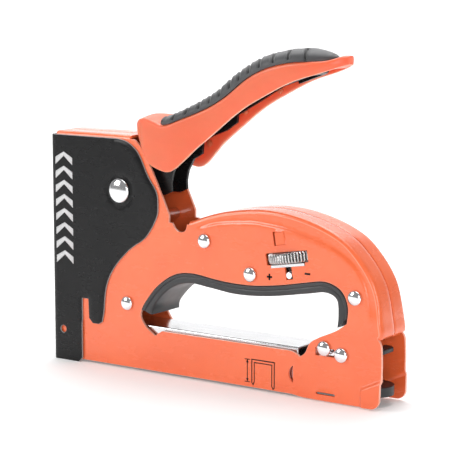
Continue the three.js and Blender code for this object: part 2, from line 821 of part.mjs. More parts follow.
// The moulded cover and the rubber pad on it.
const rounded = (t) => Math.sin(Math.PI * (t - 0.5));
const spread = (u) => (1 - Math.cos(Math.PI * u)) / 2;
const padFrom = 61;
const padTo = 151;
const leastHalf = 1.2;
const coverOuter = moulded([40, 8, 2], (u, v, w) => {
  const x = coverNose + (coverTip - coverNose) * (0.45 * u + 0.55 * spread(u));
  const half = Math.max(leastHalf, coverHalf(x));
  const bare = 1 - ease(x, padFrom - 5, padFrom) + ease(x, padTo, padTo + 4);
  const roof = rim(x) + (top(x) - rim(x)) * bare * Math.cos(Math.PI * (v - 0.5));
  const floor = Math.min(skirt(x), roof - 1);
  return [x, half * rounded(v), floor + (roof - floor) * w];
});
const cavity = moulded([30, 2, 1], (u, v, w) => {
  const x = coverNose + 3 + (coverTip - 7 - coverNose - 3) * u;
  const half = Math.max(leastHalf, coverHalf(x) - coverWall);
  const roof = rim(x) - coverWall;
  return [x, half * (2 * v - 1), roof - (roof - skirt(x) + 8) * (1 - w)];
});
piece("handle_cover", cut(coverOuter, cavity), "plastic");
const padHalf = (x) => {
  const front = Math.sqrt(Math.max(0, 1 - (Math.max(0, padFrom + 8 - x) / 8.2) ** 2));
  const back = Math.sqrt(Math.max(0, 1 - (Math.max(0, x - padTo + 18) / 18.2) ** 2));
  return Math.max(leastHalf, (coverHalf(x) - gap) * front * back);
};
piece(
  "handle_pad",
  moulded([34, 8, 1], (u, v, w) => {
    const x = padFrom + (padTo - padFrom) * (0.5 * u + 0.5 * spread(u));
    const base = rim(x) + gap;
    const roof = base + Math.max(0.8, (top(x) - base) * Math.cos(Math.PI * (v - 0.5)));
    return [x, padHalf(x) * rounded(v), base + (roof - base) * w];
  }),
  "grey",
);

// The spring-force wheel, its screw, the slider that the screw drives, and the bracket that holds them.
const collar = 4.6;
piece(
  "adjusting_wheel",
  onAxle(
    new THREE.LatheGeometry(
      [
        [screwRadius + gap, -wheelWidth / 2],
        [wheelRadius - 0.5, -wheelWidth / 2],
        [wheelRadius, -wheelWidth / 2 + 0.5],
        [wheelRadius, wheelWidth / 2 - 0.5],
        [wheelRadius - 0.5, wheelWidth / 2],
        [screwRadius + gap, wheelWidth / 2],
        [screwRadius + gap, -wheelWidth / 2],
      ].map(([r, y]) => new THREE.Vector2(r, y)),
      40,
    ).rotateX(Math.PI / 2),
  ),
  "steel",
);
const bracketTop = wheelWidth / 2 + 0.5 + sheet;
const sliderBlock = [sliderNose + 1.4, sliderNose + 1.5 + pointer];
const screwFoot = sliderNose - 0.9;
piece(
  "adjusting_screw",
  join(upright(screwRadius, screwFoot, bracketTop + gap), upright(collar, bracketTop + gap, bracketTop + 2.2)),
  "steel",
);
const bracketReach = wheelRadius + 1.4;
const bracketSide = bracketReach - sheet;
piece(
  "adjuster_bracket",
  cut(
    join(
      slab(tiltedBox([-lipHalf, bracketReach], [-bracketTop, bracketTop]), -inner + gap, inner - gap),
      slab(tiltedBox([-lipHalf, lipHalf], [-bracketTop, -lipDrop]), -bodyHalf - 0.2, bodyHalf + 0.2),
    ),
    slab(tiltedBox([-bracketReach, bracketSide], [-lipDrop, lipDrop]), ...through),
    upright(screwRadius + gap, -20, 20),
  ),
  "steel",
);
piece(
  "force_slider",
  cut(
    join(
      slab(tiltedBox([-3.8, 4.2], sliderBlock), -(inner - gap), inner - gap),
      slab(tiltedBox([-1.1, 1.1], [sliderNose, sliderBlock[1]]), -5, 5),
      rod(slotMiddle, pointer, -bodyHalf, bodyHalf, 16),
    ),
    upright(screwRadius + gap, -20, 20),
  ),
  "steel",
);

export default gun;
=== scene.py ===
"""A hand-squeezed staple gun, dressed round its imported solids: pressed orange shells, a black nose plate,
a padded handle, chrome rivets, a knurled wheel and a polished magazine. Metres, z up, x from nose to tail."""
import json
import math

import bpy
import numpy as np
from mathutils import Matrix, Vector
from mathutils.geometry import delaunay_2d_cdt


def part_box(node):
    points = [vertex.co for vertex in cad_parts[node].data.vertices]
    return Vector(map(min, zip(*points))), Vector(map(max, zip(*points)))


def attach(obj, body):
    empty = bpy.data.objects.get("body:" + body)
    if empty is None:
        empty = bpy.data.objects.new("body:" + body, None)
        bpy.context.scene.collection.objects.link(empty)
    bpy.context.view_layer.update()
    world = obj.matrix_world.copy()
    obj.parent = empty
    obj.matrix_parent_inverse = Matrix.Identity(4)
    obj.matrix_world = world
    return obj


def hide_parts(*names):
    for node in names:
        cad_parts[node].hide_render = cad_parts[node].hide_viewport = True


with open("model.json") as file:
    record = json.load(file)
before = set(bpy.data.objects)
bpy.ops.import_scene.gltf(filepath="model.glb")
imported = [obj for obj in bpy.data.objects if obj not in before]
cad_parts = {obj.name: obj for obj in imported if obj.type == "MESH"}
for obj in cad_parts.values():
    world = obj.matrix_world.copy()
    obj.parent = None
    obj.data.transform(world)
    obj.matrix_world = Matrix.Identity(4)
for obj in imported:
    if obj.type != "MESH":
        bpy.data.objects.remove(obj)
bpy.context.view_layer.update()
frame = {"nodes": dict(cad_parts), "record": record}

MM = 0.001
NODES = frame["nodes"]
BODY_OF = {n: b for b, ns in frame["record"]["behaviour"]["bodies"].items() for n in ns}


def spot(node):
    """Middle of a node's box, in millimetres."""
    low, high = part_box(node)
    return np.array((low + high) / 2) / MM


def low_high(node):
    """Lowest and highest corners of a node, in millimetres."""
    return [np.array(c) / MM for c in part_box(node)]


NOSE = low_high("nose_plate")[0][0]
SHELL_LOW, SHELL_HIGH = low_high("left_shell")
SIDE = -SHELL_LOW[1]
PIVOT = spot("lever_pivot_rivet")


# ------------------------------ materials
class Nodes:
    """Short hand for building a material's node tree. Every pattern lies on Object coordinates."""

    def __init__(self, name):
        self.mat = bpy.data.materials.new(name)
        self.mat.use_nodes = True
        self.tree = self.mat.node_tree
        self.shader = self.tree.nodes["Principled BSDF"]
        self.coords = self.add("ShaderNodeTexCoord").outputs["Object"]

    def add(self, kind, **values):
        node = self.tree.nodes.new(kind)
        for key, value in values.items():
            if hasattr(node, key):
                setattr(node, key, value)
            else:
                node.inputs[key.replace("_", " ")].default_value = value
        return node

    def link(self, out, to):
        self.tree.links.new(out, to)

    def set(self, **values):
        for key, value in values.items():
            self.shader.inputs[key.replace("_", " ")].default_value = value

    def stretched(self, scale):
        mapping = self.add("ShaderNodeMapping")
        mapping.inputs["Scale"].default_value = scale
        self.link(self.coords, mapping.inputs["Vector"])
        return mapping.outputs["Vector"]

    def noise(self, scale, detail=3.0, rough=0.5, at=None):
        node = self.add("ShaderNodeTexNoise", Scale=scale, Detail=detail, Roughness=rough)
        self.link(at or self.coords, node.inputs["Vector"])
        return node.outputs["Fac"]

    def ramp(self, value, *stops):
        node = self.add("ShaderNodeValToRGB")
        ramp = node.color_ramp
        while len(ramp.elements) < len(stops):
            ramp.elements.new(0.5)
        for element, (place, colour) in zip(ramp.elements, stops):
            element.position = place
            element.color = colour if len(colour) == 4 else (*colour, 1)
        self.link(value, node.inputs["Fac"])
        return node.outputs["Color"]

    def mixed(self, factor, a, b, blend="MIX"):
        node = self.add("ShaderNodeMix", data_type="RGBA", blend_type=blend)
        for socket, value in ((node.inputs[0], factor), (node.inputs[6], a), (node.inputs[7], b)):
            if hasattr(value, "links"):
                self.link(value, socket)
            else:
                socket.default_value = value if isinstance(value, float) else (*value, 1)
        return node.outputs[2]

    def math(self, kind, a, b):
        node = self.add("ShaderNodeMath", operation=kind)
        for socket, value in zip(node.inputs, (a, b)):
            if hasattr(value, "links"):
                self.link(value, socket)
            else:
                socket.default_value = value
        return node.outputs[0]

    def attribute(self, name):
        return self.add("ShaderNodeAttribute", attribute_name=name).outputs["Fac"]

    def bump(self, height, strength, distance):
        node = self.add("ShaderNodeBump", Strength=strength, Distance=distance)
        self.link(height, node.inputs["Height"])
        last = self.shader.inputs["Normal"]
        if last.links:
            self.link(last.links[0].from_socket, node.inputs["Normal"])
        self.link(node.outputs["Normal"], last)

    def colour(self, out):
        self.link(out, self.shader.inputs["Base Color"])

    def roughness(self, out):
        self.link(out, self.shader.inputs["Roughness"])


def grey(v):
    """A neutral colour of that brightness."""
    return (v, v, v)


# how strongly the painted edge highlight mixes in at an edge
EDGE_HIGHLIGHT_SHARE = 0.8


def painted_edge_highlight(n, paint, edge):
    """A painted highlight: the paint mixed thinly towards a paler colour along cut edges, where the edge
    attribute is near 1.
    """
    thin = n.math("MULTIPLY", n.math("POWER", n.attribute("edge"), 2.0), EDGE_HIGHLIGHT_SHARE)
    return n.mixed(thin, paint, edge)


def powder_coat(name, pale, deep, rough, edge=None, specks=0.93):
    """Baked powder paint: a slow drift of colour, orange peel, fine specks, and paler cut edges: a painted
    highlight, which on black paint also stands for bare steel at the cut.
    """
    n = Nodes(name)
    drift = n.ramp(n.noise(45, 4), (0.35, deep), (0.68, pale))
    dots = n.ramp(n.noise(2600, 2), (0.60, grey(1)), (0.74, grey(specks)))
    paint = n.mixed(1.0, drift, dots, "MULTIPLY")
    n.colour(painted_edge_highlight(n, paint, edge) if edge else paint)
    smear = n.noise(70, 5, 0.6, n.stretched((1, 1, 2.5)))
    n.roughness(n.ramp(smear, (0.3, grey(rough - 0.05)), (0.75, grey(rough + 0.10))))
    n.bump(n.noise(900, 2), 0.04, 0.00006)
    n.bump(n.noise(240, 2), 0.009, 0.0002)
    n.set(Coat_Weight=0.25, Coat_Roughness=0.12, Specular_IOR_Level=0.5)
    return n


def moulded_plastic(name, pale, deep, rough, grain=0.10, edge=None, groove=None):
    """Injection-moulded plastic: fine spark texture, faint flow lines, and a handling sheen. Edges are
    painted paler as a highlight and the bottoms of grooves are painted darker as shade."""
    n = Nodes(name)
    drift = n.ramp(n.noise(38, 4), (0.35, deep), (0.7, pale))
    flow = n.ramp(n.noise(60, 4, 0.6, n.stretched((0.4, 2, 2))), (0.4, grey(1)), (0.8, grey(0.95)))
    colour = n.mixed(1.0, drift, flow, "MULTIPLY")
    if edge:
        colour = painted_edge_highlight(n, colour, edge)
    if groove:
        colour = n.mixed(n.attribute("groove"), colour, groove)
    n.colour(colour)
    n.roughness(n.ramp(n.noise(120, 4), (0.3, grey(rough - 0.06)), (0.75, grey(rough + 0.10))))
    n.bump(n.noise(3200, 2), grain, 0.00008)
    return n


def steel(name, bright, dull, rough, streak=(1, 1, 1), bump=0.05, groove=None):
    """Bare or plated steel: streaks along one direction, faint scratches and a cloudy roughness."""
    n = Nodes(name)
    lines = n.noise(420, 3, 0.6, n.stretched(streak))
    colour = n.ramp(lines, (0.3, dull), (0.7, bright))
    # Where the groove attribute is high the colour is mixed towards the groove colour: painted shade in the
    # hollows.
    n.colour(n.mixed(n.attribute("groove"), colour, groove) if groove else colour)
    cloud = n.noise(90, 4)
    n.roughness(n.ramp(n.math("ADD", n.math("MULTIPLY", lines, 0.6), n.math("MULTIPLY", cloud, 0.4)),
                       (0.3, grey(rough)), (0.75, grey(rough + 0.14))))
    n.bump(lines, bump, 0.00006)
    n.set(Metallic=1.0)
    return n


# A paler orange painted along the cut edges of the shells and the handle's skirt as a highlight.
ORANGE_EDGE_HIGHLIGHT = (1.0, 0.47, 0.34)
orange = powder_coat("orange powder coat", (0.94, 0.170, 0.054), (0.90, 0.148, 0.044), 0.24,
                     ORANGE_EDGE_HIGHLIGHT)
orange.set(Coat_Weight=0.6, Coat_Roughness=0.10)
cover_plastic = moulded_plastic("orange handle plastic", (0.95, 0.180, 0.084),
                                (0.91, 0.156, 0.068), 0.36, edge=ORANGE_EDGE_HIGHLIGHT)
cover_plastic.set(Subsurface_Weight=0.6, Subsurface_Radius=(1.0, 0.22, 0.12), Subsurface_Scale=0.006)
# The grey(0.42) along the plate's cut edges stands partly for bare steel at the cut and partly for a painted
# highlight.
black_paint = powder_coat("black satin paint", (0.0095, 0.0095, 0.010), (0.0065, 0.0065, 0.007),
                          0.26, grey(0.42), 0.98)
black_paint.set(Coat_Weight=0.0, Specular_IOR_Level=0.25)
black_plastic = moulded_plastic("black plastic", (0.024, 0.024, 0.026), (0.016, 0.016, 0.018), 0.40)
liner_plastic = moulded_plastic("dark grey liner plastic", (0.046, 0.047, 0.049),
                                (0.034, 0.035, 0.037), 0.40, 0.16)
# grey(0.006) is painted shade, darkening the bottoms of the pad's grooves.
rubber = moulded_plastic("grey grip rubber", (0.066, 0.067, 0.070), (0.050, 0.051, 0.054), 0.50,
                         0.22, groove=grey(0.006))
rubber.set(Sheen_Weight=0.2, Sheen_Roughness=0.4)
chrome = steel("nickel plated steel", (0.93, 0.93, 0.94), (0.86, 0.86, 0.88), 0.05, (2, 2, 2),
               0.012)
polished = steel("polished magazine steel", (0.80, 0.80, 0.81), (0.60, 0.60, 0.62), 0.13,
                 (0.15, 4, 4), 0.04)
# grey(0.05) is painted shade and dark reflection in the hollows of the knurl.
knurled = steel("knurled nickel", (0.70, 0.68, 0.67), (0.50, 0.49, 0.49), 0.16, (3, 3, 0.5), 0.03,
                grey(0.05))
sprung = steel("oiled spring steel", (0.42, 0.42, 0.45), (0.25, 0.25, 0.27), 0.25, (0.3, 3, 3),
               0.04)
ink = powder_coat("black print", (0.012, 0.010, 0.010), (0.008, 0.006, 0.006), 0.5)
ink.set(Coat_Weight=0.0, Specular_IOR_Level=0.2)
pale_ink = powder_coat("pale print", (0.74, 0.74, 0.74), (0.64, 0.64, 0.65), 0.45)

LOOKS = {
    "orange_paint": orange, "orange_plastic": cover_plastic, "black_paint": black_paint,
    "black_plastic": black_plastic, "grey_rubber": rubber, "grey_plastic": liner_plastic,
    "plated_steel": chrome, "bright_steel": polished, "spring_steel": sprung,
}
SLOT_OF = {part["node"]: part["material_slot"] for part in frame["record"]["subparts"]}


# ------------------------------ mesh helpers
TINY, SAME = 1e-12, 1e-9
RING = 0.3  # how far inside its outlines a filled region has its first points
FLAT_AREA = 1e-5  # twice the area below which a triangle is left out
ON_OUTLINE = 0.02  # how near an outline a point counts as on it


def smooth_by_angle(mesh, degrees):
    """Soft shading, with a hard edge wherever two faces turn by more than the angle."""
    mesh.shade_smooth()
    mesh.set_sharp_from_angle(angle=math.radians(degrees))


def new_piece(name, points, faces, look, slot, body, *stands_for, angle=35):
    """A mesh from points in millimetres, in place, riding on a body."""
    mesh = bpy.data.meshes.new(name)
    corners = (np.asarray(points, float) * MM).tolist()
    mesh.from_pydata(corners, [], [list(map(int, f)) for f in faces])
    mesh.validate()
    smooth_by_angle(mesh, angle)
    piece = bpy.data.objects.new(name, mesh)
    bpy.context.scene.collection.objects.link(piece)
    piece.data.materials.append(look.mat)
    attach(piece, body)
    if stands_for:
        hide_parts(*stands_for)
    return piece


def tagged(piece, name, values):
    """Stores one number a point on a piece, for its material to read."""
    store = piece.data.attributes.new(name, "FLOAT", "POINT")
    store.data.foreach_set("value", np.asarray(values, np.float32))


def corners_of(piece):
    """A piece's points in millimetres."""
    points = np.zeros(len(piece.data.vertices) * 3)
    piece.data.vertices.foreach_get("co", points)
    return points.reshape(-1, 3) / MM


def merged(points, faces, close=1e-4):
    """The same surface with points that share a place made one, and the faces that vanish left out."""
    cells = np.round(np.asarray(points) / close).astype(np.int64)
    keys, back = np.unique(cells, axis=0, return_inverse=True)
    back = back.reshape(-1)
    place = np.zeros((len(keys), 3))
    place[back] = points
    kept = []
    for face in faces:
        ring = [int(back[i]) for i in face]
        ring = [a for i, a in enumerate(ring) if a != ring[i - 1]]
        if len(set(ring)) >= 3:
            kept.append(ring)
    return place, kept


def grid_faces(rows, columns, close_rows=False, close_columns=False):
    """Quads over a grid of points stored row by row."""
    r = np.arange(rows if close_rows else rows - 1)
    c = np.arange(columns if close_columns else columns - 1)
    r, c = np.meshgrid(r, c, indexing="ij")
    r1, c1 = (r + 1) % rows, (c + 1) % columns
    quads = np.stack([r * columns + c, r * columns + c1, r1 * columns + c1, r1 * columns + c], -1)
    return quads.reshape(-1, 4)


def tube_faces(rows, columns):
    """Quads round a tube whose closed sections are stored row by row, with a face over each end."""
    first, last = list(range(columns)), list(range((rows - 1) * columns, rows * columns))
    return grid_faces(rows, columns, close_columns=True).tolist() + [first[::-1], last]


def signed_volume(points, faces):
    """A closed mesh's volume: positive when its faces look outwards."""
    fans = [(f[0], b, c) for f in faces for b, c in zip(f[1:], f[2:])]
    a, b, c = points[np.array(fans)].transpose(1, 0, 2)
    return np.einsum("ij,ij->", a, np.cross(b, c)) / 6


def walled(piece, thickness):
    """Gives a surface the thickness of its sheet, inwards."""
    wall = piece.modifiers.new("sheet", "SOLIDIFY")
    wall.thickness, wall.offset, wall.use_even_offset = thickness * MM, -1, True


def rounded(piece, width, segments, angle):
    """Rounds every edge where the faces turn by more than the angle, in degrees."""
    bevel = piece.modifiers.new("rounded edges", "BEVEL")
    bevel.width, bevel.segments, bevel.limit_method = width * MM, segments, "ANGLE"
    bevel.angle_limit = math.radians(angle)


def node_mesh(node):
    """A CAD node's corners in millimetres and its triangles, with its loose triangles joined."""
    mesh = NODES[node].data
    points = np.zeros(len(mesh.vertices) * 3)
    mesh.vertices.foreach_get("co", points)
    faces = [list(p.vertices) for p in mesh.polygons]
    return merged(points.reshape(-1, 3) / MM, faces, 1e-3)


def edge_loops(node, axis, value):
    """The closed outlines of a node's flat face where that coordinate has the value, longest first."""
    points, faces = node_mesh(node)
    flat = np.abs(points[:, axis] - value) < 2e-3
    ends = {}
    for face in faces:
        if flat[face].all():
            for a, b in zip(face, face[1:] + face[:1]):
                if (b, a) in ends:
                    del ends[b, a]
                else:
                    ends[a, b] = True
    follow = {}
    for a, b in ends:
        follow.setdefault(a, []).append(b)
    loops = []
    while follow:
        start = next(iter(follow))
        loop, at = [], start
        while at in follow:
            loop.append(at)
            after = follow[at].pop()
            if not follow[at]:
                del follow[at]
            at = after
        loops.append(np.delete(points[loop], axis, 1))
    return sorted(loops, key=lambda p: -np.linalg.norm(np.roll(p, -1, 0) - p, axis=1).sum())


def hermite(s, start, start_slope, end, end_slope, length=1.0):
    """A cubic from start to end as s goes from 0 to 1, that leaves and arrives along the slopes."""
    return ((2 * s**3 - 3 * s**2 + 1) * start + (s**3 - 2 * s**2 + s) * length * start_slope
            + (3 * s**2 - 2 * s**3) * end + (s**3 - s**2) * length * end_slope)


def left_of(ahead, least=0.0):
    """Unit normals on the left of each direction."""
    return np.stack([-ahead[:, 1], ahead[:, 0]], 1) / (np.linalg.norm(ahead, axis=1)[:, None] + least)


def turns(ahead):
    """How far a closed outline turns at the start of each of its steps, in radians."""
    behind = np.roll(ahead, 1, 0)
    cross = behind[:, 0] * ahead[:, 1] - behind[:, 1] * ahead[:, 0]
    return np.abs(np.arctan2(cross, (behind * ahead).sum(1)))


def refined_outline(loop, pitch, corner=30):
    """A closed outline drawn again with points no further apart than the pitch: a curve through its
    points where they turn gently, with its sharp corners kept."""
    loop = np.asarray(loop, float)
    ahead = np.roll(loop, -1, 0) - loop
    keep = np.linalg.norm(ahead, axis=1) > 1e-3
    loop = loop[keep]
    ahead = np.roll(loop, -1, 0) - loop
    length = np.linalg.norm(ahead, axis=1)
    turn = np.degrees(turns(ahead))
    unit = ahead / length[:, None]
    middle = ahead + np.roll(ahead, 1, 0)
    middle /= np.linalg.norm(middle, axis=1)[:, None] + TINY
    drawn = []
    for i in range(len(loop)):
        j = (i + 1) % len(loop)
        t0 = unit[i] if turn[i] > corner else middle[i]
        t1 = unit[i] if turn[j] > corner else middle[j]
        steps = max(1, int(np.ceil(length[i] / pitch)))
        s = (np.arange(steps) / steps)[:, None]
        drawn.append(hermite(s, loop[i], t0, loop[j], t1, length[i]))
    return np.concatenate(drawn)


def inside(points, loops):
    """True for points inside the first outline and outside the others: an odd count of edges crossed."""
    crossed = np.zeros(len(points), int)
    for loop in loops:
        for x0, z0, x1, z1 in np.concatenate([loop, np.roll(loop, -1, 0)], 1):
            if z0 == z1:
                continue
            between = (points[:, 1] > min(z0, z1)) & (points[:, 1] <= max(z0, z1))
            crossed += between & (points[:, 0] < x0 + (points[:, 1] - z0) * (x1 - x0) / (z1 - z0))
    return crossed % 2 == 1


def clearance(points, loops):
    """Each point's distance from the nearest point of the outlines."""
    rim = np.concatenate(loops)
    return np.array([np.sqrt(((rim - p) ** 2).sum(1).min()) for p in points])


def beside_outline(loop, gap):
    """A ring of points that runs along an outline, that far to its left."""
    return loop + gap * left_of(np.roll(loop, -1, 0) - np.roll(loop, 1, 0), TINY)


def filled(loops, pitch, extra):
    """Triangles over a flat region: its outlines, a ring of points just inside each, extra points where
    it bends, and a square grid. Triangles with no area are left out."""
    low, high = loops[0].min(0), loops[0].max(0)
    rings = np.concatenate([beside_outline(loop, gap) for loop in loops for gap in (RING, -RING)])
    rings = rings[inside(rings, loops)]
    rings = rings[clearance(rings, loops) > 0.8 * RING]
    first = np.unique(np.round(extra / RING), axis=0, return_index=True)[1]
    extra = extra[np.sort(first)]
    extra = extra[inside(extra, loops)]
    extra = extra[clearance(extra, [*loops, rings]) > RING]
    spots = np.concatenate([rings, extra])
    gx, gz = np.meshgrid(np.arange(low[0], high[0], pitch), np.arange(low[1], high[1], pitch))
    grid = np.stack([gx.ravel(), gz.ravel()], 1)
    grid = grid[inside(grid, loops)]
    grid = grid[clearance(grid, [*loops, spots]) > 0.45 * pitch]
    spots = np.concatenate([spots, grid])
    points, edges = [], []
    for loop in loops:
        first = len(points)
        points += list(loop)
        edges += [(first + i, first + (i + 1) % len(loop)) for i in range(len(loop))]
    points = [Vector(p) for p in [*points, *spots]]
    made = delaunay_2d_cdt(points, edges, [], 0, 1e-6)
    flat = np.array([tuple(p) for p in made[0]])
    given = np.concatenate([*loops, spots])
    if len(given) == len(flat) and np.abs(given - flat).max() < 1e-3:
        flat = given
    triangles = np.array([f for f in made[2] if len(f) == 3])
    triangles = triangles[inside(flat[triangles].mean(1), loops)]
    a, b, c = flat[triangles].transpose(1, 0, 2)
    area = (b - a)[:, 0] * (c - a)[:, 1] - (b - a)[:, 1] * (c - a)[:, 0]
    kept, triangles = np.unique(triangles[np.abs(area) > FLAT_AREA], return_inverse=True)
    return flat[kept], triangles.reshape(-1, 3)


def turned(name, profile, centre, look, slot, body, *stands_for, steps=56):
    """A profile of (radius r, place y) turned once round the Y axis: centre + (r cos a, y, -r sin a)."""
    profile = np.asarray(profile, float)
    a = np.linspace(0, 2 * np.pi, steps, endpoint=False)[:, None]
    x, z = profile[:, 0] * np.cos(a), profile[:, 0] * np.sin(a)
    points = np.stack([x, np.broadcast_to(profile[:, 1], x.shape), -z], -1).reshape(-1, 3) + centre
    points, faces = merged(points, grid_faces(steps, len(profile), close_rows=True))
    return new_piece(name, points, faces, look, slot, body, *stands_for)


# ------------------------------ finishes of the plain nodes
for name, node in NODES.items():
    node.data.materials.clear()
    node.data.materials.append(LOOKS[SLOT_OF[name]].mat)

# ------------------------------ the pressed shells
# Places along the gun are written from the nose: NOSE is added where they are used.
ROLL_RISE, ROLL_WIDTH = 1.6, 2.2
SHEET = 1.2
SEAM = 0.28
LONG_LOOP = 40  # only outlines longer than this have the painted edge highlight
# how near the outer face the points on those outlines get the painted edge highlight
EDGE_HIGHLIGHT_BAND = 1.5
ARCH_LINE = np.array([(78, 67.6), (85.9, 70.3), (93, 72.5), (100, 73.8), (112.9, 75), (119.7, 74.8),
                      (131.6, 73.6), (143.4, 70.8), (154.9, 67.3), (163.5, 62.5), (169.2, 56.4),
                      (171.8, 51), (173, 44), (173, 36)]) + [NOSE, 0]
TAIL_EDGE = np.array([(176.8, 0.9), (178.3, 1.8), (179.2, 3.0), (179.6, 4.6), (179.6, 27.6)])
TAIL_FROM, TAIL_TOP = 176.5, 31
LOUVER = (126, 69)
WHEEL = spot("adjusting_wheel")[[0, 2]]
TILT = math.radians(9.3)
PANEL, TONGUE, SWELL, STRIP = 0.8, 1.1, 1.2, 0.45  # heights of the side's relief
SWELL_FROM, SWELL_TOP, SWELL_SLOPE = 170, 7.2, 0.46


def spline(points, count):
    """A smooth line through the points, worked out with uniform cubic pieces."""
    p = np.asarray(points, float)
    slope = np.gradient(p, axis=0)
    t = np.linspace(0, len(p) - 1, count)
    i = np.minimum(t.astype(int), len(p) - 2)
    return hermite((t - i)[:, None], p[i], slope[i], p[i + 1], slope[i + 1])


def ease(x, start, end):
    """0 before start, 1 after end, and a smooth S between."""
    t = np.clip((np.asarray(x, float) - start) / (end - start), 0, 1)
    return t * t * (3 - 2 * t)


def beside(points, line):
    """Signed distance from an open line: positive on its right as it runs."""
    a, b = line[:-1], line[1:]
    d = b - a
    best = np.full(len(points), np.inf)
    for p, v in zip(a, d):
        t = np.clip(((points - p) @ v) / (v @ v), 0, 1)
        off = points - p - t[:, None] * v
        gap = np.hypot(*off.T)
        signed = np.where(v[1] * off[:, 0] - v[0] * off[:, 1] > 0, gap, -gap)
        best = np.where(gap < np.abs(best) - SAME, signed, best)
    return best


def in_wheel_frame(points):
    """Points along the wheel's window, and up its tilted axle."""
    d = points - WHEEL
    return d @ [math.cos(TILT), math.sin(TILT)], d @ [-math.sin(TILT), math.cos(TILT)]


EMBOSS = spline(ARCH_LINE, 90)


def shell_depth(points):
    """How far the side stands out, in mm: a raised panel inside the arch line, a tongue by the louver,
    a shallow swelling at the bottom of the tail and a small lanced strip. Each is a height times S-shaped
    steps in x, in z or in distance from its line."""
    x, z = points.T
    x = x - NOSE
    fade = ease(x, 80, 92) * ease(z, 36, 46)
    sunk = PANEL * ease(-beside(points, EMBOSS), -0.8, 0.8) * fade
    a, b = in_wheel_frame(points)
    tongue = TONGUE * ease(a, -4.4, -4.2) * (1 - 0.6 * np.clip((a + 4.2) / 4.2, 0, 1))
    tongue = tongue * (1 - ease(a, 0.1, 0.5)) * ease(b, 5.7, 6.0) * (1 - ease(b, 11.4, 11.7))
    above = z - SWELL_SLOPE * (x - SWELL_FROM)
    swell = SWELL * ease(x, 169.2, 171) * (1 - ease(above, SWELL_TOP, 9.6))
    strip = STRIP * ease(x, 147.2, 148) * (1 - ease(x, 156.4, 157.2))
    strip = strip * ease(z, 4.2, 4.4) * (1 - ease(z, 4.6, 6.6))
    return tongue + swell + strip - sunk


def shell_outlines():
    """The side's outlines in fine steps, the outer one first, with the tail's own edge set in. The louver's
    slit opens half a millimetre wider on its front side."""
    loops = edge_loops("left_shell", 1, -SIDE)
    at = np.array([NOSE, 0])
    tail = ((loops[0] - at)[:, 0] > TAIL_FROM) & (loops[0][:, 1] < TAIL_TOP)
    first = int(np.argmax(tail & ~np.roll(tail, 1)))
    outer = np.roll(loops[0], -first, 0)
    loops[0] = np.concatenate([TAIL_EDGE + at, outer[tail.sum():]])
    slit = min(range(1, len(loops)), key=lambda i: np.hypot(*(loops[i].mean(0) - at - LOUVER)))
    along_slit = in_wheel_frame(loops[slit])[0]
    loops[slit] = loops[slit] - np.outer(along_slit < along_slit.mean(), [0.5, 0.08])
    return [refined_outline(loop, 0.9) for loop in loops]


def relief_points():
    """Extra mesh points where the relief turns: beside the arch line, over the tongue, and at the front
    and top of the tail's swelling."""
    near_line = spline(ARCH_LINE[1:], 150)
    across = left_of(np.gradient(near_line, axis=0))
    extra = [near_line + across * k for k in (-0.9, -0.45, 0, 0.45, 0.9)]
    u, v = np.meshgrid(np.arange(-4.4, 1, 0.35), [5.75, 6.0, 7.5, 9, 10.5, 11.3, 11.6])
    extra.append(WHEEL + np.stack([u * math.cos(TILT) - v * math.sin(TILT),
                                   u * math.sin(TILT) + v * math.cos(TILT)], -1).reshape(-1, 2))
    u, v = np.meshgrid(NOSE + np.arange(168.8, 171.6, 0.4), np.arange(1, 12, 0.8))
    extra.append(np.stack([u, v], -1).reshape(-1, 2))
    u, v = np.meshgrid(NOSE + np.arange(170, 180, 0.8), np.arange(6.8, 10.2, 0.45))
    extra.append(np.stack([u, v + SWELL_SLOPE * (u - NOSE - SWELL_FROM)], -1).reshape(-1, 2))
    return np.concatenate(extra)


def rolled_runs(rim):
    """Which points of the outer outline are rolled over: those along the crown, and those of the arch."""
    out = -left_of(np.roll(rim, -1, 0) - rim)
    x, z = rim.T - np.array([[NOSE], [0]])
    crown = (z > SHELL_HIGH[2] - 1.75) & (x < 47)
    arch = (x > 79.6) & (z > 31.3) & (out[:, 1] > -0.5) & (z > 60 - 0.3 * (x - 80))
    arch |= (x > 165) & (z > 31.3) & (out[:, 0] > 0.05) & (x > 166 + 0.15 * (73 - z))
    for run in (crown, arch):
        ends = run & np.roll(run, -1)
        start = next(i for i in range(len(rim)) if ends[i] and not ends[i - 1])
        steps = 0
        while ends[(start + steps) % len(rim)]:
            steps += 1
        yield rim[(start + np.arange(steps + 1)) % len(rim)]


def flange(path):
    """A strip along a piece of outline: a quarter turn a, with rise = R sin a and width = W (1 - cos a),
    then flat to the seam. A row of points for each point of the path."""
    normal = -left_of(np.gradient(path, axis=0))
    turn = np.linspace(0, math.pi / 2, 6)
    rise = np.append(ROLL_RISE * np.sin(turn), np.full(4, ROLL_RISE))
    width = np.append(ROLL_WIDTH * (1 - np.cos(turn)), np.linspace(ROLL_WIDTH, SIDE - SEAM, 5)[1:])
    top = -SIDE - shell_depth(path)
    y = top[:, None] + (-SIDE + ROLL_WIDTH - top)[:, None] * np.minimum(width / ROLL_WIDTH, 1)
    y = y + np.maximum(width - ROLL_WIDTH, 0)
    place = path[:, None, :] + normal[:, None, :] * rise[None, :, None]
    return np.stack([place[..., 0], y, place[..., 1]], -1)


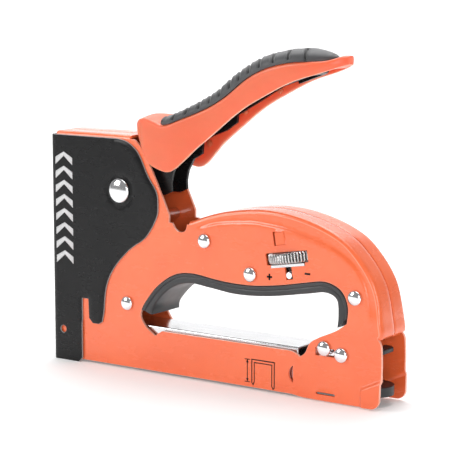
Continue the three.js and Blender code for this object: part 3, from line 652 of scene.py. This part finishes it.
def pressed_shell(name, side):
    """One pressed half: its side is y = -(half + depth(x, z)) over a flat outline with windows, and along
    the crown and the arch a quarter turn rolls it over into a flange that runs to the seam."""
    loops = shell_outlines()
    flat, triangles = filled(loops, 1.5, relief_points())
    points = [np.column_stack([flat[:, 0], -SIDE - shell_depth(flat), flat[:, 1]])]
    faces = [list(t) for t in triangles]
    base = len(flat)
    for path in rolled_runs(loops[0]):
        strip = flange(path)
        faces += (grid_faces(*strip.shape[:2]) + base).tolist()
        points.append(strip.reshape(-1, 3))
        base += len(points[-1])
    points, faces = merged(np.concatenate(points), faces, 2e-3)
    if side > 0:
        points = points * [1, -1, 1]
        faces = [f[::-1] for f in faces]
    shell = new_piece(name, points, faces, orange, "orange_paint", "frame",
                      "left_shell" if side < 0 else "right_shell")
    at = corners_of(shell)
    long_loops = [loop for loop in loops if np.ptp(loop[:, 0]) > LONG_LOOP]
    # Points on the long outlines near the outer face carry the edge attribute: a painted highlight along the
    # cut edges.
    on_rim = clearance(at[:, [0, 2]], long_loops) < ON_OUTLINE
    tagged(shell, "edge", on_rim & (np.abs(at[:, 1]) > SIDE - EDGE_HIGHLIGHT_BAND))
    walled(shell, SHEET)
    rounded(shell, 0.22, 2, 55)


pressed_shell("shell_near", -1)
pressed_shell("shell_far", 1)

# ------------------------------ the nose plate
PLATE_HALF = -low_high("nose_plate")[0][1]
PLATE_BEND = 2.2
PLATE_SHEET = 0.9
REAR_ROLL = 0.38  # how far the scalloped rear edge is pressed down
DIMPLE, DIMPLE_RADIUS, DIMPLE_WIDTH = 0.22, 7.2, 0.42  # the shallow ring round the big rivet
PLATE_FLAT = PLATE_HALF - PLATE_BEND
PLATE_TURN = PLATE_FLAT + PLATE_BEND * math.pi / 2


def bent_plate():
    """A flat blank folded round the nose: a point s along the blank goes straight across the front, round
    a quarter turn of the bend, then straight back along a side. Its rear edge rolls down, and a ring
    exp(-((r - R) / w)^2) round the big rivet is pressed in."""
    loops = edge_loops("nose_plate", 1, -PLATE_HALF)
    corner = NOSE + PLATE_BEND
    first = int(np.argmin(np.hypot(loops[0][:, 0] - corner, loops[0][:, 1])))
    path = refined_outline(np.roll(loops[0], -first, 0), 0.9)
    path = path[np.abs(path[:, 0] - corner) > ON_OUTLINE]
    foot, head = path[:, 1].min(), path[:, 1].max()
    near = np.concatenate([[[corner, foot]], path, [[corner, head]]])
    near[:, 0] += PLATE_TURN - corner
    far = near[::-1] * [-1, 1]
    columns = np.concatenate([np.linspace(PLATE_TURN, PLATE_FLAT, 6)[1:], np.arange(8, -8.1, -2),
                              -np.linspace(PLATE_FLAT, PLATE_TURN, 6)[:-1]])
    top, bottom = (np.stack([columns, np.full(len(columns), z)], 1) for z in (head, foot))
    outline = np.concatenate([near, top, far, bottom[::-1]])
    holes = []
    for loop in loops[1:]:
        ring = refined_outline(loop, 0.6) + [PLATE_TURN - corner, 0]
        holes += [ring, ring[::-1] * [-1, 1]]
    rear = near[(near[:, 0] > PLATE_TURN + 12) & (near[:, 1] > 18.5)]
    rear = rear[(rear[:, 1] < head - ON_OUTLINE) & (np.hypot(*(rear - rear[0]).T) > 1)]
    bends = [k for k in columns if abs(k) > PLATE_FLAT - 0.1]
    extra = [np.stack(np.meshgrid(bends, np.arange(0.7, head, 1.3)), -1).reshape(-1, 2)]
    pivot = np.array([PIVOT[0] - corner + PLATE_TURN, PIVOT[2]])
    a = np.linspace(0, 2 * np.pi, 60, endpoint=False)
    for r in (6.6, 7.0, 7.4, 7.8):
        ring = pivot + r * np.stack([np.cos(a), np.sin(a)], 1)
        extra += [ring, ring * [-1, 1]]
    inward = left_of(np.gradient(rear, axis=0))
    for step in (0.5, 1.0, 1.5):
        extra += [rear + inward * step, (rear + inward * step) * [-1, 1]]
    flat, triangles = filled([outline, *holes], 2.0, np.concatenate(extra))
    s, z = flat.T
    run = np.abs(s)
    folded = np.stack([run, z], 1)
    lowered = REAR_ROLL * (1 - ease(clearance(folded, [rear]), 0.3, 1.5))
    ring = np.hypot(*(folded - pivot).T)
    lowered = lowered + DIMPLE * np.exp(-((ring - DIMPLE_RADIUS) / DIMPLE_WIDTH) ** 2)
    bend = np.clip((run - PLATE_FLAT) / PLATE_BEND, 0, math.pi / 2)
    x = NOSE + PLATE_BEND * (1 - np.cos(bend)) + np.maximum(run - PLATE_TURN, 0)
    y = np.minimum(run, PLATE_FLAT) + PLATE_BEND * np.sin(bend) - lowered * (run > PLATE_TURN)
    points = np.stack([x, -np.sign(s) * y, z], 1)
    plate = new_piece("plate", points, triangles, black_paint, "black_paint", "frame", "nose_plate")
    # Points on the plate's outlines carry the edge attribute: lighter grey along the cut edges, partly bare
    # steel and partly painted highlight.
    tagged(plate, "edge", clearance(flat, [outline, *holes]) < ON_OUTLINE)
    walled(plate, PLATE_SHEET)
    rounded(plate, 0.2, 2, 55)


bent_plate()

# ------------------------------ rivets and pins
HEAD_EDGE, HEAD_CHAMFER = 0.25, 0.12
SEAT_GAP = 0.3


def both_ways(profile):
    """A half profile from the outside in, then the same mirrored across the gun."""
    return profile + [(r, -y) for r, y in profile[::-1]]


def domed(radius, rise, seat):
    """A rivet head from its top down: y = seat + rise sqrt(1 - (r / R)^2), with a short upright edge."""
    r = radius * np.sin(np.linspace(0, math.pi / 2, 10))
    y = seat + HEAD_EDGE + (rise - HEAD_EDGE) * np.sqrt(np.maximum(0, 1 - (r / radius) ** 2))
    return [*zip(r, y), (radius, seat + HEAD_CHAMFER), (radius - HEAD_CHAMFER, seat),
            (radius * 0.6, seat)]


def rivet(node, radius, rise, seat, shank):
    """Two domed heads on one shank, turned about an axis across the gun."""
    x, _, z = spot(node)
    half = [*domed(radius, rise, seat), (shank, seat), (shank, 4)]
    turned(node + "_dome", both_ways(half), (x, 0, z), chrome, "plated_steel", "frame", node)


for node in ("front_rivet", "upper_rivet", "fulcrum_rivet", "rear_rivet", "tail_rivet", "latch_pin"):
    rivet(node, 3.3, 1.75, SIDE + SEAT_GAP, 2.0)
rivet("lever_pivot_rivet", 5.75, 2.3, PLATE_HALF + SEAT_GAP, 4.0)
PIN = spot("lever_stop_pin")
pin_profile = [(0, 10.75), (1.8, 10.75), (2.0, 10.55), (2.0, 9.25), (2.55, 9.2), (2.75, 9.0)]
turned("stop_pin", both_ways(pin_profile), (PIN[0], 0, PIN[2]), polished, "plated_steel", "frame",
       "lever_stop_pin")


# ------------------------------ the grip liner
LINER_STATIONS, LINER_ROUND = 150, 1.1
LINER_DEPTH = np.array([0, 0, 0.15, 0.35, 1.35, 1.55, 1.75, 2.05, 2.25, 2.45])
LINER_HALF = np.array([9.3, 10.9, 11.15, 11.25, 11.25, 11.1, 10.8, 10.8, 10.98, 11.05])


def along(path, count):
    """An open line drawn again with evenly spaced points."""
    run = np.concatenate([[0], np.cumsum(np.linalg.norm(np.diff(path, axis=0), axis=1))])
    t = np.linspace(0, run[-1], count)
    return np.stack([np.interp(t, run, path[:, k]) for k in range(path.shape[1])], 1)


def lining():
    """A section carried round the finger hole: between the hole's edge and the grip's edge it has a raised
    rim, a groove and a flat band, and it turns through a rounded edge into the inside face."""
    loop = edge_loops("grip_liner", 1, low_high("grip_liner")[0][1])[0]
    loop = refined_outline(loop, 0.8, 35)
    bend = turns(np.roll(loop, -1, 0) - loop)
    corners = sorted(np.argsort(-bend)[:4])
    sides = [loop[np.arange(a, b + 1 if b > a else b + 1 + len(loop)) % len(loop)]
             for a, b in zip(corners, corners[1:] + corners[:1])]
    sides = sorted(sides, key=lambda s: -np.linalg.norm(np.diff(s, axis=0), axis=1).sum())
    outer, inner = (along(s, LINER_STATIONS) for s in sides[:2])
    if np.linalg.norm(outer[0] - inner[0]) > np.linalg.norm(outer[0] - inner[-1]):
        inner = inner[::-1]
    across = np.linalg.norm(inner - outer, axis=1)[:, None]
    turn = np.linspace(0, math.pi / 2, 6)
    depth = np.broadcast_to(LINER_DEPTH, (LINER_STATIONS, len(LINER_DEPTH)))
    reach = np.concatenate([depth, across - LINER_ROUND * (1 - np.sin(turn))], 1)
    reach = np.minimum(reach, across)
    half = np.concatenate([LINER_HALF, LINER_HALF[-1] - LINER_ROUND * (1 - np.cos(turn))])
    reach = np.concatenate([reach, reach[:, -1:], reach[:, ::-1]], 1)
    y = np.concatenate([-half, [0.0], half[::-1]])
    place = outer[:, None, :] + (inner - outer)[:, None, :] * (reach / across)[..., None]
    points = np.stack([place[..., 0], np.broadcast_to(y, reach.shape), place[..., 1]], -1)
    faces = tube_faces(*reach.shape)
    points = points.reshape(-1, 3)
    if signed_volume(points, faces) < 0:
        faces = [f[::-1] for f in faces]
    new_piece("liner", points, faces, liner_plastic, "grey_plastic", "frame", "grip_liner", angle=50)


lining()

# ------------------------------ the handle
DROP = PIVOT[2] - 83.9  # heights below are written for a pivot at 83.9


def height_line(*pairs):
    """Heights along x as a smooth function, from (x, z) pairs in millimetres measured from the nose."""
    line = spline(np.array(pairs), 240)
    return lambda x: np.interp(x, line[:, 0], line[:, 1]) + DROP


rim_line = height_line((46.5, 112.4), (48.5, 115.4), (52, 117.4), (57, 118), (61.5, 116.8),
                       (67.6, 115.6), (78, 119.3), (85.5, 122.4), (92.5, 125.7), (99.3, 129.7),
                       (109.1, 137), (116.1, 140.9), (122.9, 143.4), (132, 145.4), (141, 146),
                       (147.5, 146.4), (151.5, 147.3), (154.5, 148.4), (157, 148.6))
skirt_line = height_line((46.5, 111.2), (50, 110.6), (53, 107.6), (55, 103.2), (57.5, 99),
                         (60.5, 96.6), (66.5, 94.6), (70, 94.5), (73.5, 96.2), (78.5, 100.6),
                         (84, 105.8), (90.5, 110.9), (106.5, 123.1), (119, 130.2), (133, 136.9),
                         (146, 141), (157, 144.8))
top_line = height_line((46.5, 113), (48.7, 116.9), (53.5, 119.2), (60, 118.7), (66.9, 119.9),
                       (79.8, 125.6), (92, 132.5), (100.7, 139.4), (113.9, 146.9), (127.8, 150.5),
                       (138, 151.2), (145, 150.3), (150.5, 148.9), (157, 148.7))
COVER_FROM, COVER_TO, WALL = 46.5, 157.0, 1.8
PAD_FROM, PAD_TO = 61.0, 151.0
BULGE, LIP, LIFT = 0.35, 0.45, 0.3  # the cover's side, its foot, and where its hollow starts
RIDGE = 0.22  # a low ridge and a dip across the front of the cover


def cover_half(x):
    """Half the cover's width: it narrows behind the front, and both ends are quarter ellipses."""
    front = np.sqrt(np.maximum(0, 1 - (np.maximum(0, 58 - x) / 11.6) ** 2))
    rear = np.sqrt(np.maximum(0, 1 - (np.maximum(0, x - 135) / 22.5) ** 2))
    return (13.5 - 2.8 * ease(x, 70, 90)) * front * rear


def bare_top(x):
    """Share of the cover's own crown that shows: all of it before and after the pad."""
    return 1 - ease(x, PAD_FROM - 5, PAD_FROM) + ease(x, PAD_TO, PAD_TO + 4)


def stations(start, end, count, even):
    """Places from start to end, part evenly spaced and part crowded towards both ends."""
    u = np.linspace(0, 1, count)
    return start + (end - start) * (even * u + (1 - even) * (1 - np.cos(math.pi * u)) / 2)


def handle_shell():
    """Stations along the handle, each a closed section: outside up from the near skirt, over a rounded
    shoulder and down to the far skirt, then back along the inside."""
    x = stations(COVER_FROM, COVER_TO, 150, 0.45)
    half = np.maximum(cover_half(x), 0.02)[:, None]
    floor = skirt_line(x)[:, None]
    rim = rim_line(x)[:, None]
    crown = np.maximum(top_line(x)[:, None] - rim, 0) * bare_top(x)[:, None]
    rim = np.maximum(rim, floor + 0.5)
    tall = rim - floor
    lip = np.minimum(LIP, tall * 0.2)
    bend = np.minimum(1.7, np.minimum(half * 0.5, tall * 0.45))

    # the side, from the foot to the shoulder
    up = np.linspace(0, 1, 9)[None, :]
    bulge = BULGE * np.minimum(1, half / 6)
    side_y = np.minimum(half - bulge * (1 - up) + 0.4 * bulge * np.sin(math.pi * up), half)
    ridge = np.exp(-(((x - 52.6) / 0.9) ** 2)) - np.exp(-(((x - 54.6) / 0.8) ** 2))
    side_y = side_y + RIDGE * ridge[:, None] * np.sin(math.pi * up)
    side_z = floor + lip + (tall - lip - bend) * up
    # the shoulder, a quarter turn, and the top
    turn = np.linspace(0, math.pi / 2, 7)[None, 1:]
    bend_y, bend_z = half - bend + bend * np.cos(turn), rim - bend + bend * np.sin(turn)
    flat = np.linspace(0, 1, 9)[None, 1:]
    flat_y, flat_z = (half - bend) * (1 - flat), rim + crown * np.sin(flat * math.pi / 2) ** 1.2
    foot_y = np.concatenate([half - np.minimum(2 * LIP, half * 0.3), half - np.minimum(0.4, half * 0.1)], 1)
    foot_z = np.concatenate([floor, floor + lip * 0.35], 1)
    out_y = np.concatenate([foot_y, side_y, bend_y, flat_y], 1)
    out_z = np.concatenate([foot_z, side_z, bend_z, flat_z], 1)

    # the inside, which closes up towards both ends
    hollow = ease(x, COVER_FROM + 2.5, COVER_FROM + 6) * (1 - ease(x, COVER_TO - 9, COVER_TO - 6))
    in_half = np.maximum(half - WALL, half * 0.3)
    in_roof = floor + LIFT + hollow[:, None] * np.maximum(rim - WALL - floor - LIFT, 0)
    in_foot = floor + 0.3 * lip
    k = np.linspace(0, 1, 6)[None, :]
    in_y = np.concatenate([np.broadcast_to(in_half, (len(x), 6)), in_half * (1 - k[:, 1:])], 1)
    in_z = np.concatenate([in_foot + (in_roof - in_foot) * k,
                           np.broadcast_to(in_roof, (len(x), 5))], 1)
    y = np.concatenate([-out_y, out_y[:, -2::-1], in_y, -in_y[:, -2::-1]], 1)
    z = np.concatenate([out_z, out_z[:, -2::-1], in_z, in_z[:, -2::-1]], 1)
    points = np.stack([np.broadcast_to(x[:, None] + NOSE, y.shape), y, z], -1)
    faces = [f[::-1] for f in tube_faces(*y.shape)]
    points, faces = merged(points.reshape(-1, 3), faces, 1e-3)
    cover = new_piece("cover", points, faces, cover_plastic, "orange_plastic", "lever",
                      "handle_cover", angle=50)
    at = corners_of(cover)
    # Points along the foot of the skirt carry the edge attribute: a painted highlight along its lower edge.
    tagged(cover, "edge", at[:, 2] < skirt_line(at[:, 0] - NOSE) + 0.25)


handle_shell()

GROOVES = np.array([65.6, 72.2, 78.6, 84.9, 90.3, 95.8, 101.2, 106.2, 111.3, 116.9, 124, 131.8, 140.3])
SWEEP, SWEEP_HALF = 4.6, 10
GROOVE_DEPTH, GROOVE_WIDTH = 1.1, 0.55


def from_groove(x, y):
    """Distance along the gun from the nearest groove, a chevron x = groove - 4.6 (1 - |y| / 10)."""
    line = GROOVES - SWEEP * (1 - np.minimum(1, np.abs(y) / SWEEP_HALF))[..., None]
    return np.abs(x[..., None] - line).min(-1)


def grip_pad():
    """A crowned pad over the handle: height = rim + (top - rim) cos(a)^0.8 at y = half sin(a), less the
    grooves, which have a soft V section with a raised lip."""
    x = stations(PAD_FROM, PAD_TO, 420, 0.5)[:, None]
    front = np.sqrt(np.maximum(0, 1 - (np.maximum(0, PAD_FROM + 8 - x) / 8.05) ** 2))
    rear = np.sqrt(np.maximum(0, 1 - (np.maximum(0, x - PAD_TO + 18) / 18.05) ** 2))
    half = np.maximum((cover_half(x) - 0.25) * front * rear, 0.02)
    a = np.linspace(-math.pi / 2, math.pi / 2, 57)[None, :]
    y = half * np.sin(a)
    base = rim_line(x) + 0.1
    rise = np.maximum(0.15, top_line(x) - base) * np.minimum(1, half / 4) ** 0.5
    z = base + rise * np.maximum(np.cos(a), 0) ** 0.8
    off = from_groove(np.broadcast_to(x, y.shape), y)
    groove = np.exp(-((off / GROOVE_WIDTH) ** 2)) - 0.2 * np.exp(-(((off - 1.3) / 0.5) ** 2))
    fade = ease(np.cos(a), 0.12, 0.26)
    z = z - GROOVE_DEPTH * groove * fade * np.minimum(1, rise / 2)
    y = y * (1 - 0.05 * groove * fade)
    y = np.concatenate([y, half * 0.9, -half * 0.9], 1)
    z = np.concatenate([z, np.broadcast_to(base - 0.08, (len(x), 2))], 1)
    points = np.stack([np.broadcast_to(x + NOSE, y.shape), y, z], -1)
    faces = [f[::-1] for f in tube_faces(*y.shape)]
    points, faces = merged(points.reshape(-1, 3), faces, 1e-3)
    pad = new_piece("grip", points, faces, rubber, "grey_rubber", "lever", "handle_pad", angle=60)
    x, y, _ = corners_of(pad).T
    x = x - NOSE
    reach = 1 - ease(np.abs(y) / np.maximum(1, cover_half(x)), 0.90, 0.95)
    # The groove attribute darkens the bottoms of the grooves in the rubber: painted shade.
    tagged(pad, "groove", np.exp(-((from_groove(x, y) / 0.6) ** 2)) * reach)


grip_pad()
BOSS = ((0, -0.9), (1.2, -0.9), (1.5, -0.7), (1.6, 0), (1.6, 0.6), (0, 0.6))  # radius, depth in the wall
for x, z in ((76, 105.9), (97, 121.6), (115.7, 131.8)):
    for side, word in ((-1, "near"), (1, "far")):
        inner = float(cover_half(np.array([x]))[0]) - WALL
        turned(f"cover_boss_{word}_{int(x)}", [(r, side * (inner + y)) for r, y in BOSS][::-side],
               (x + NOSE, 0, z + DROP), cover_plastic, "orange_plastic", "lever", steps=20)


# ------------------------------ the wheel
def knurled_wheel():
    """A disc on a tilted axle whose rim is r = R - depth |cos(n a / 2)|^3, with chamfered edges."""
    teeth, radius, half, depth = 62, 14.2, 2.3, 0.6
    r = np.array([2.5, 5.0, 12.6, 13.6, radius, radius, radius, radius, 13.6, 12.6, 5.0, 2.5])
    b = np.array([-half, -half, -half, -half, -1.75, -0.6, 0.6, 1.75, half, half, half, half])
    cut = np.array([0, 0, 0, 0.2, 1, 1, 1, 1, 0.2, 0, 0, 0])
    a = np.linspace(0, 2 * np.pi, teeth * 8, endpoint=False)[:, None]
    wave = np.abs(np.cos(teeth * a / 2)) ** 3
    rr = r - depth * cut * wave
    x, y, z = rr * np.cos(a), rr * np.sin(a), np.broadcast_to(b, rr.shape)
    points = np.stack([x * math.cos(TILT) - z * math.sin(TILT) + WHEEL[0], y,
                       x * math.sin(TILT) + z * math.cos(TILT) + WHEEL[1]], -1).reshape(-1, 3)
    faces = grid_faces(len(a), len(b), close_rows=True, close_columns=True)
    wheel = new_piece("wheel", points, faces[:, ::-1], knurled, "bright_steel", "force_wheel",
                      "adjusting_wheel", angle=40)
    # The groove attribute darkens the knurl's hollows: painted shade and dark reflection.
    tagged(wheel, "groove", (cut * wave).ravel())


knurled_wheel()


# ------------------------------ small parts with rounded edges
def softened(node, name, look, width, segments):
    """A copy of a solid with its coplanar triangles joined and its edges rounded."""
    points, faces = node_mesh(node)
    piece = new_piece(name, points, faces, look, SLOT_OF[node], BODY_OF[node], node)
    flat = piece.modifiers.new("flat faces", "DECIMATE")
    flat.decimate_type, flat.angle_limit = "DISSOLVE", math.radians(1.0)
    rounded(piece, width, segments, 32)


for node, name, look, width, segments in (
        ("magazine_channel", "magazine_top", polished, 0.7, 4),
        ("lever", "lever_channel", black_paint, 0.35, 2),
        ("adjuster_bracket", "wheel_bracket", polished, 0.25, 2),
        ("force_slider", "force_pointer", chrome, 0.3, 3),
        ("magazine_latch", "latch_rocker", chrome, 0.3, 2),
        ("latch_tab", "latch_button", black_plastic, 0.5, 3),
        ("rail_pull_tab", "pull_tab", black_plastic, 0.5, 3),
        ("magazine_rail", "inner_rail", polished, 0.25, 2),
        ("driver_blade", "blade", polished, 0.15, 2),
        ("lifting_claw", "claw", polished, 0.2, 2),
        ("pusher", "staple_pusher", black_plastic, 0.25, 2),
        ("driver_guide", "blade_guide", black_plastic, 0.3, 2),
        ("driver_bumper", "bumper", rubber, 0.5, 3)):
    softened(node, name, look, width, segments)

# ------------------------------ printed marks
INK, LIFT_OFF = 0.05, 0.02


def printed(name, outlines, y, look, slot, depth=None):
    """Flat ink shapes, each outline filled and laid on a side at height y (plus the side's own relief)."""
    points, faces = [], []
    for outline in outlines:
        x, z = outline.T
        if np.sum(x * np.roll(z, -1) - z * np.roll(x, -1)) < 0:
            outline = outline[::-1]
        faces.append([len(points) + i for i in range(len(outline))])
        level = depth(outline) if depth else np.zeros(len(outline))
        points += [(x, -y - d, z) for (x, z), d in zip(outline, level)]
    piece = new_piece(name, points, faces, look, slot, "frame")
    layer = piece.modifiers.new("ink", "SOLIDIFY")
    layer.thickness, layer.offset = INK * MM, 0


def stroke(points, width):
    """A line of the given width along points, as one closed outline."""
    p = np.asarray(points, float)
    n = left_of(np.gradient(p, axis=0))
    miter = np.ones(len(p))
    for i in range(1, len(p) - 1):
        a = (p[i] - p[i - 1]) / np.linalg.norm(p[i] - p[i - 1])
        b = (p[i + 1] - p[i]) / np.linalg.norm(p[i + 1] - p[i])
        m = np.array([-(a + b)[1], (a + b)[0]])
        m /= np.linalg.norm(m)
        n[i] = m
        miter[i] = 1 / max(0.3, m @ np.array([-a[1], a[0]]))
    side = n * (width / 2 * miter)[:, None]
    return np.concatenate([p + side, (p - side)[::-1]])


CHEVRON = np.array([(2.9, 0), (8.0, 4.2), (13.1, 0), (13.1, 3.4), (8.0, 6.2), (2.9, 3.4)]) + [NOSE, 0]
chevrons = [CHEVRON + [0, 46.8 + 6.7 * i] for i in range(8)]
printed("nose_chevrons", chevrons, PLATE_HALF + LIFT_OFF, pale_ink, "black_paint")

PLUS, MINUS, ARM = (123.2, 52.0), (142.8, 55.3), 1.4
LINES = [  # points from the nose, and the line's width
    ([(PLUS[0] - ARM, PLUS[1]), (PLUS[0] + ARM, PLUS[1])], 0.85),
    ([(PLUS[0], PLUS[1] - ARM), (PLUS[0], PLUS[1] + ARM)], 0.85),
    ([(MINUS[0] - ARM, MINUS[1]), (MINUS[0] + ARM, MINUS[1])], 0.85),
    ([(114.0, 3.4), (114.0, 14.0), (125.9, 14.0), (125.9, 2.6)], 0.5),  # a staple's outside
    ([(115.3, 4.2), (115.3, 12.7), (124.6, 12.7), (124.6, 3.2)], 0.45),  # and its inside
    ([(113.9, 3.5), (114.7, 2.6), (115.4, 4.3)], 0.45),
    ([(124.5, 3.3), (125.3, 1.9), (126.0, 2.7)], 0.45),
    ([(111.6, 3.8), (111.6, 13.6)], 0.42),  # a height arrow beside it
]
marks = [stroke(points, width) for points, width in LINES]
for z, s in ((3.6, 1), (13.8, -1)):
    marks.append(np.array([(111.6, z), (112.3, z + 1.5 * s), (110.9, z + 1.5 * s)]))
    marks.append(stroke([(110.2, z), (113.0, z)], 0.38))
printed("side_marks", [mark + [NOSE, 0] for mark in marks], SIDE + LIFT_OFF, ink, "orange_paint",
        shell_depth)

# ------------------------------ floor, light and camera
def studio_sweep():
    """A pale floor that runs straight back and then curves up into a wall, as wide all the way: behind
    the straight run it lies at r sin a back and r (1 - cos a) up. It is turned to face the camera."""
    front, back, half, rise, bend = -3.0, 1.2, 4.0, 3.0, 1.0
    turn = math.radians(34.9)
    run = [(front, 0.0), (back, 0.0)]
    run += [(back + bend * math.sin(a), bend * (1 - math.cos(a)))
            for a in np.linspace(0.1, math.pi / 2, 14)]
    run += [(back + bend, rise)]
    points = [(x * math.cos(turn) - y * math.sin(turn), x * math.sin(turn) + y * math.cos(turn), z)
              for y, z in run for x in (-half, half)]
    mesh = bpy.data.meshes.new("studio_floor")
    mesh.from_pydata(points, [], grid_faces(len(run), 2).tolist())
    mesh.shade_smooth()
    floor = bpy.data.objects.new("studio_floor", mesh)
    bpy.context.scene.collection.objects.link(floor)
    paper = Nodes("pale paper")
    paper.colour(paper.ramp(paper.noise(3, 2), (0.3, grey(0.90)), (0.7, grey(0.93))))
    paper.set(Roughness=0.9, Specular_IOR_Level=0.1, Emission_Color=(1, 1, 1, 1), Emission_Strength=0.15)
    floor.data.materials.append(paper.mat)


def softbox(name, place, towards, size, power):
    """A white rectangular light at a place, aimed at another."""
    light = bpy.data.lights.new(name, "AREA")
    light.shape, light.size, light.size_y = "RECTANGLE", size[0], size[1]
    light.energy = power
    lamp = bpy.data.objects.new(name, light)
    lamp.location = place
    lamp.rotation_mode = "QUATERNION"
    lamp.rotation_quaternion = (Vector(towards) - Vector(place)).to_track_quat("-Z", "Y")
    bpy.context.scene.collection.objects.link(lamp)


studio_sweep()
softbox("overhead", (0.1, 0.15, 0.95), (0, 0, 0.06), (0.9, 0.7), 6)
softbox("front_left", (-0.75, -0.85, 0.60), (0, 0, 0.07), (0.5, 0.6), 5.5)
softbox("front_right", (0.80, -0.90, 0.32), (0, 0, 0.07), (0.4, 0.5), 4)
softbox("backdrop", (-0.9, 1.4, 2.2), (-1.3, 1.9, 0.0), (2.2, 1.2), 34)
world = bpy.data.worlds.new("studio")
world.use_nodes = True
world.node_tree.nodes["Background"].inputs["Color"].default_value = (1, 1, 1, 1)
world.node_tree.nodes["Background"].inputs["Strength"].default_value = 0.28
scene = bpy.context.scene
scene.world = world
scene.view_settings.view_transform = "Standard"

AZIMUTH, ELEVATION = math.radians(34.92), math.radians(8.779)
EYE = (0.44905, -0.63721, 0.18922)
FOCAL_RATIO, SENSOR = 1751.27 / 458, 36.0  # the focal length, in picture widths
camera = bpy.data.objects.new("camera", bpy.data.cameras.new("camera"))
camera.data.sensor_width = SENSOR
camera.data.lens = FOCAL_RATIO * SENSOR
back = Vector((math.sin(AZIMUTH) * math.cos(ELEVATION), -math.cos(AZIMUTH) * math.cos(ELEVATION),
               math.sin(ELEVATION)))
camera.location = EYE
camera.rotation_mode = "QUATERNION"
camera.rotation_quaternion = (-back).to_track_quat("-Z", "Y")
camera.data.clip_start, camera.data.clip_end = 0.01, 30
scene.collection.objects.link(camera)
scene.camera = camera
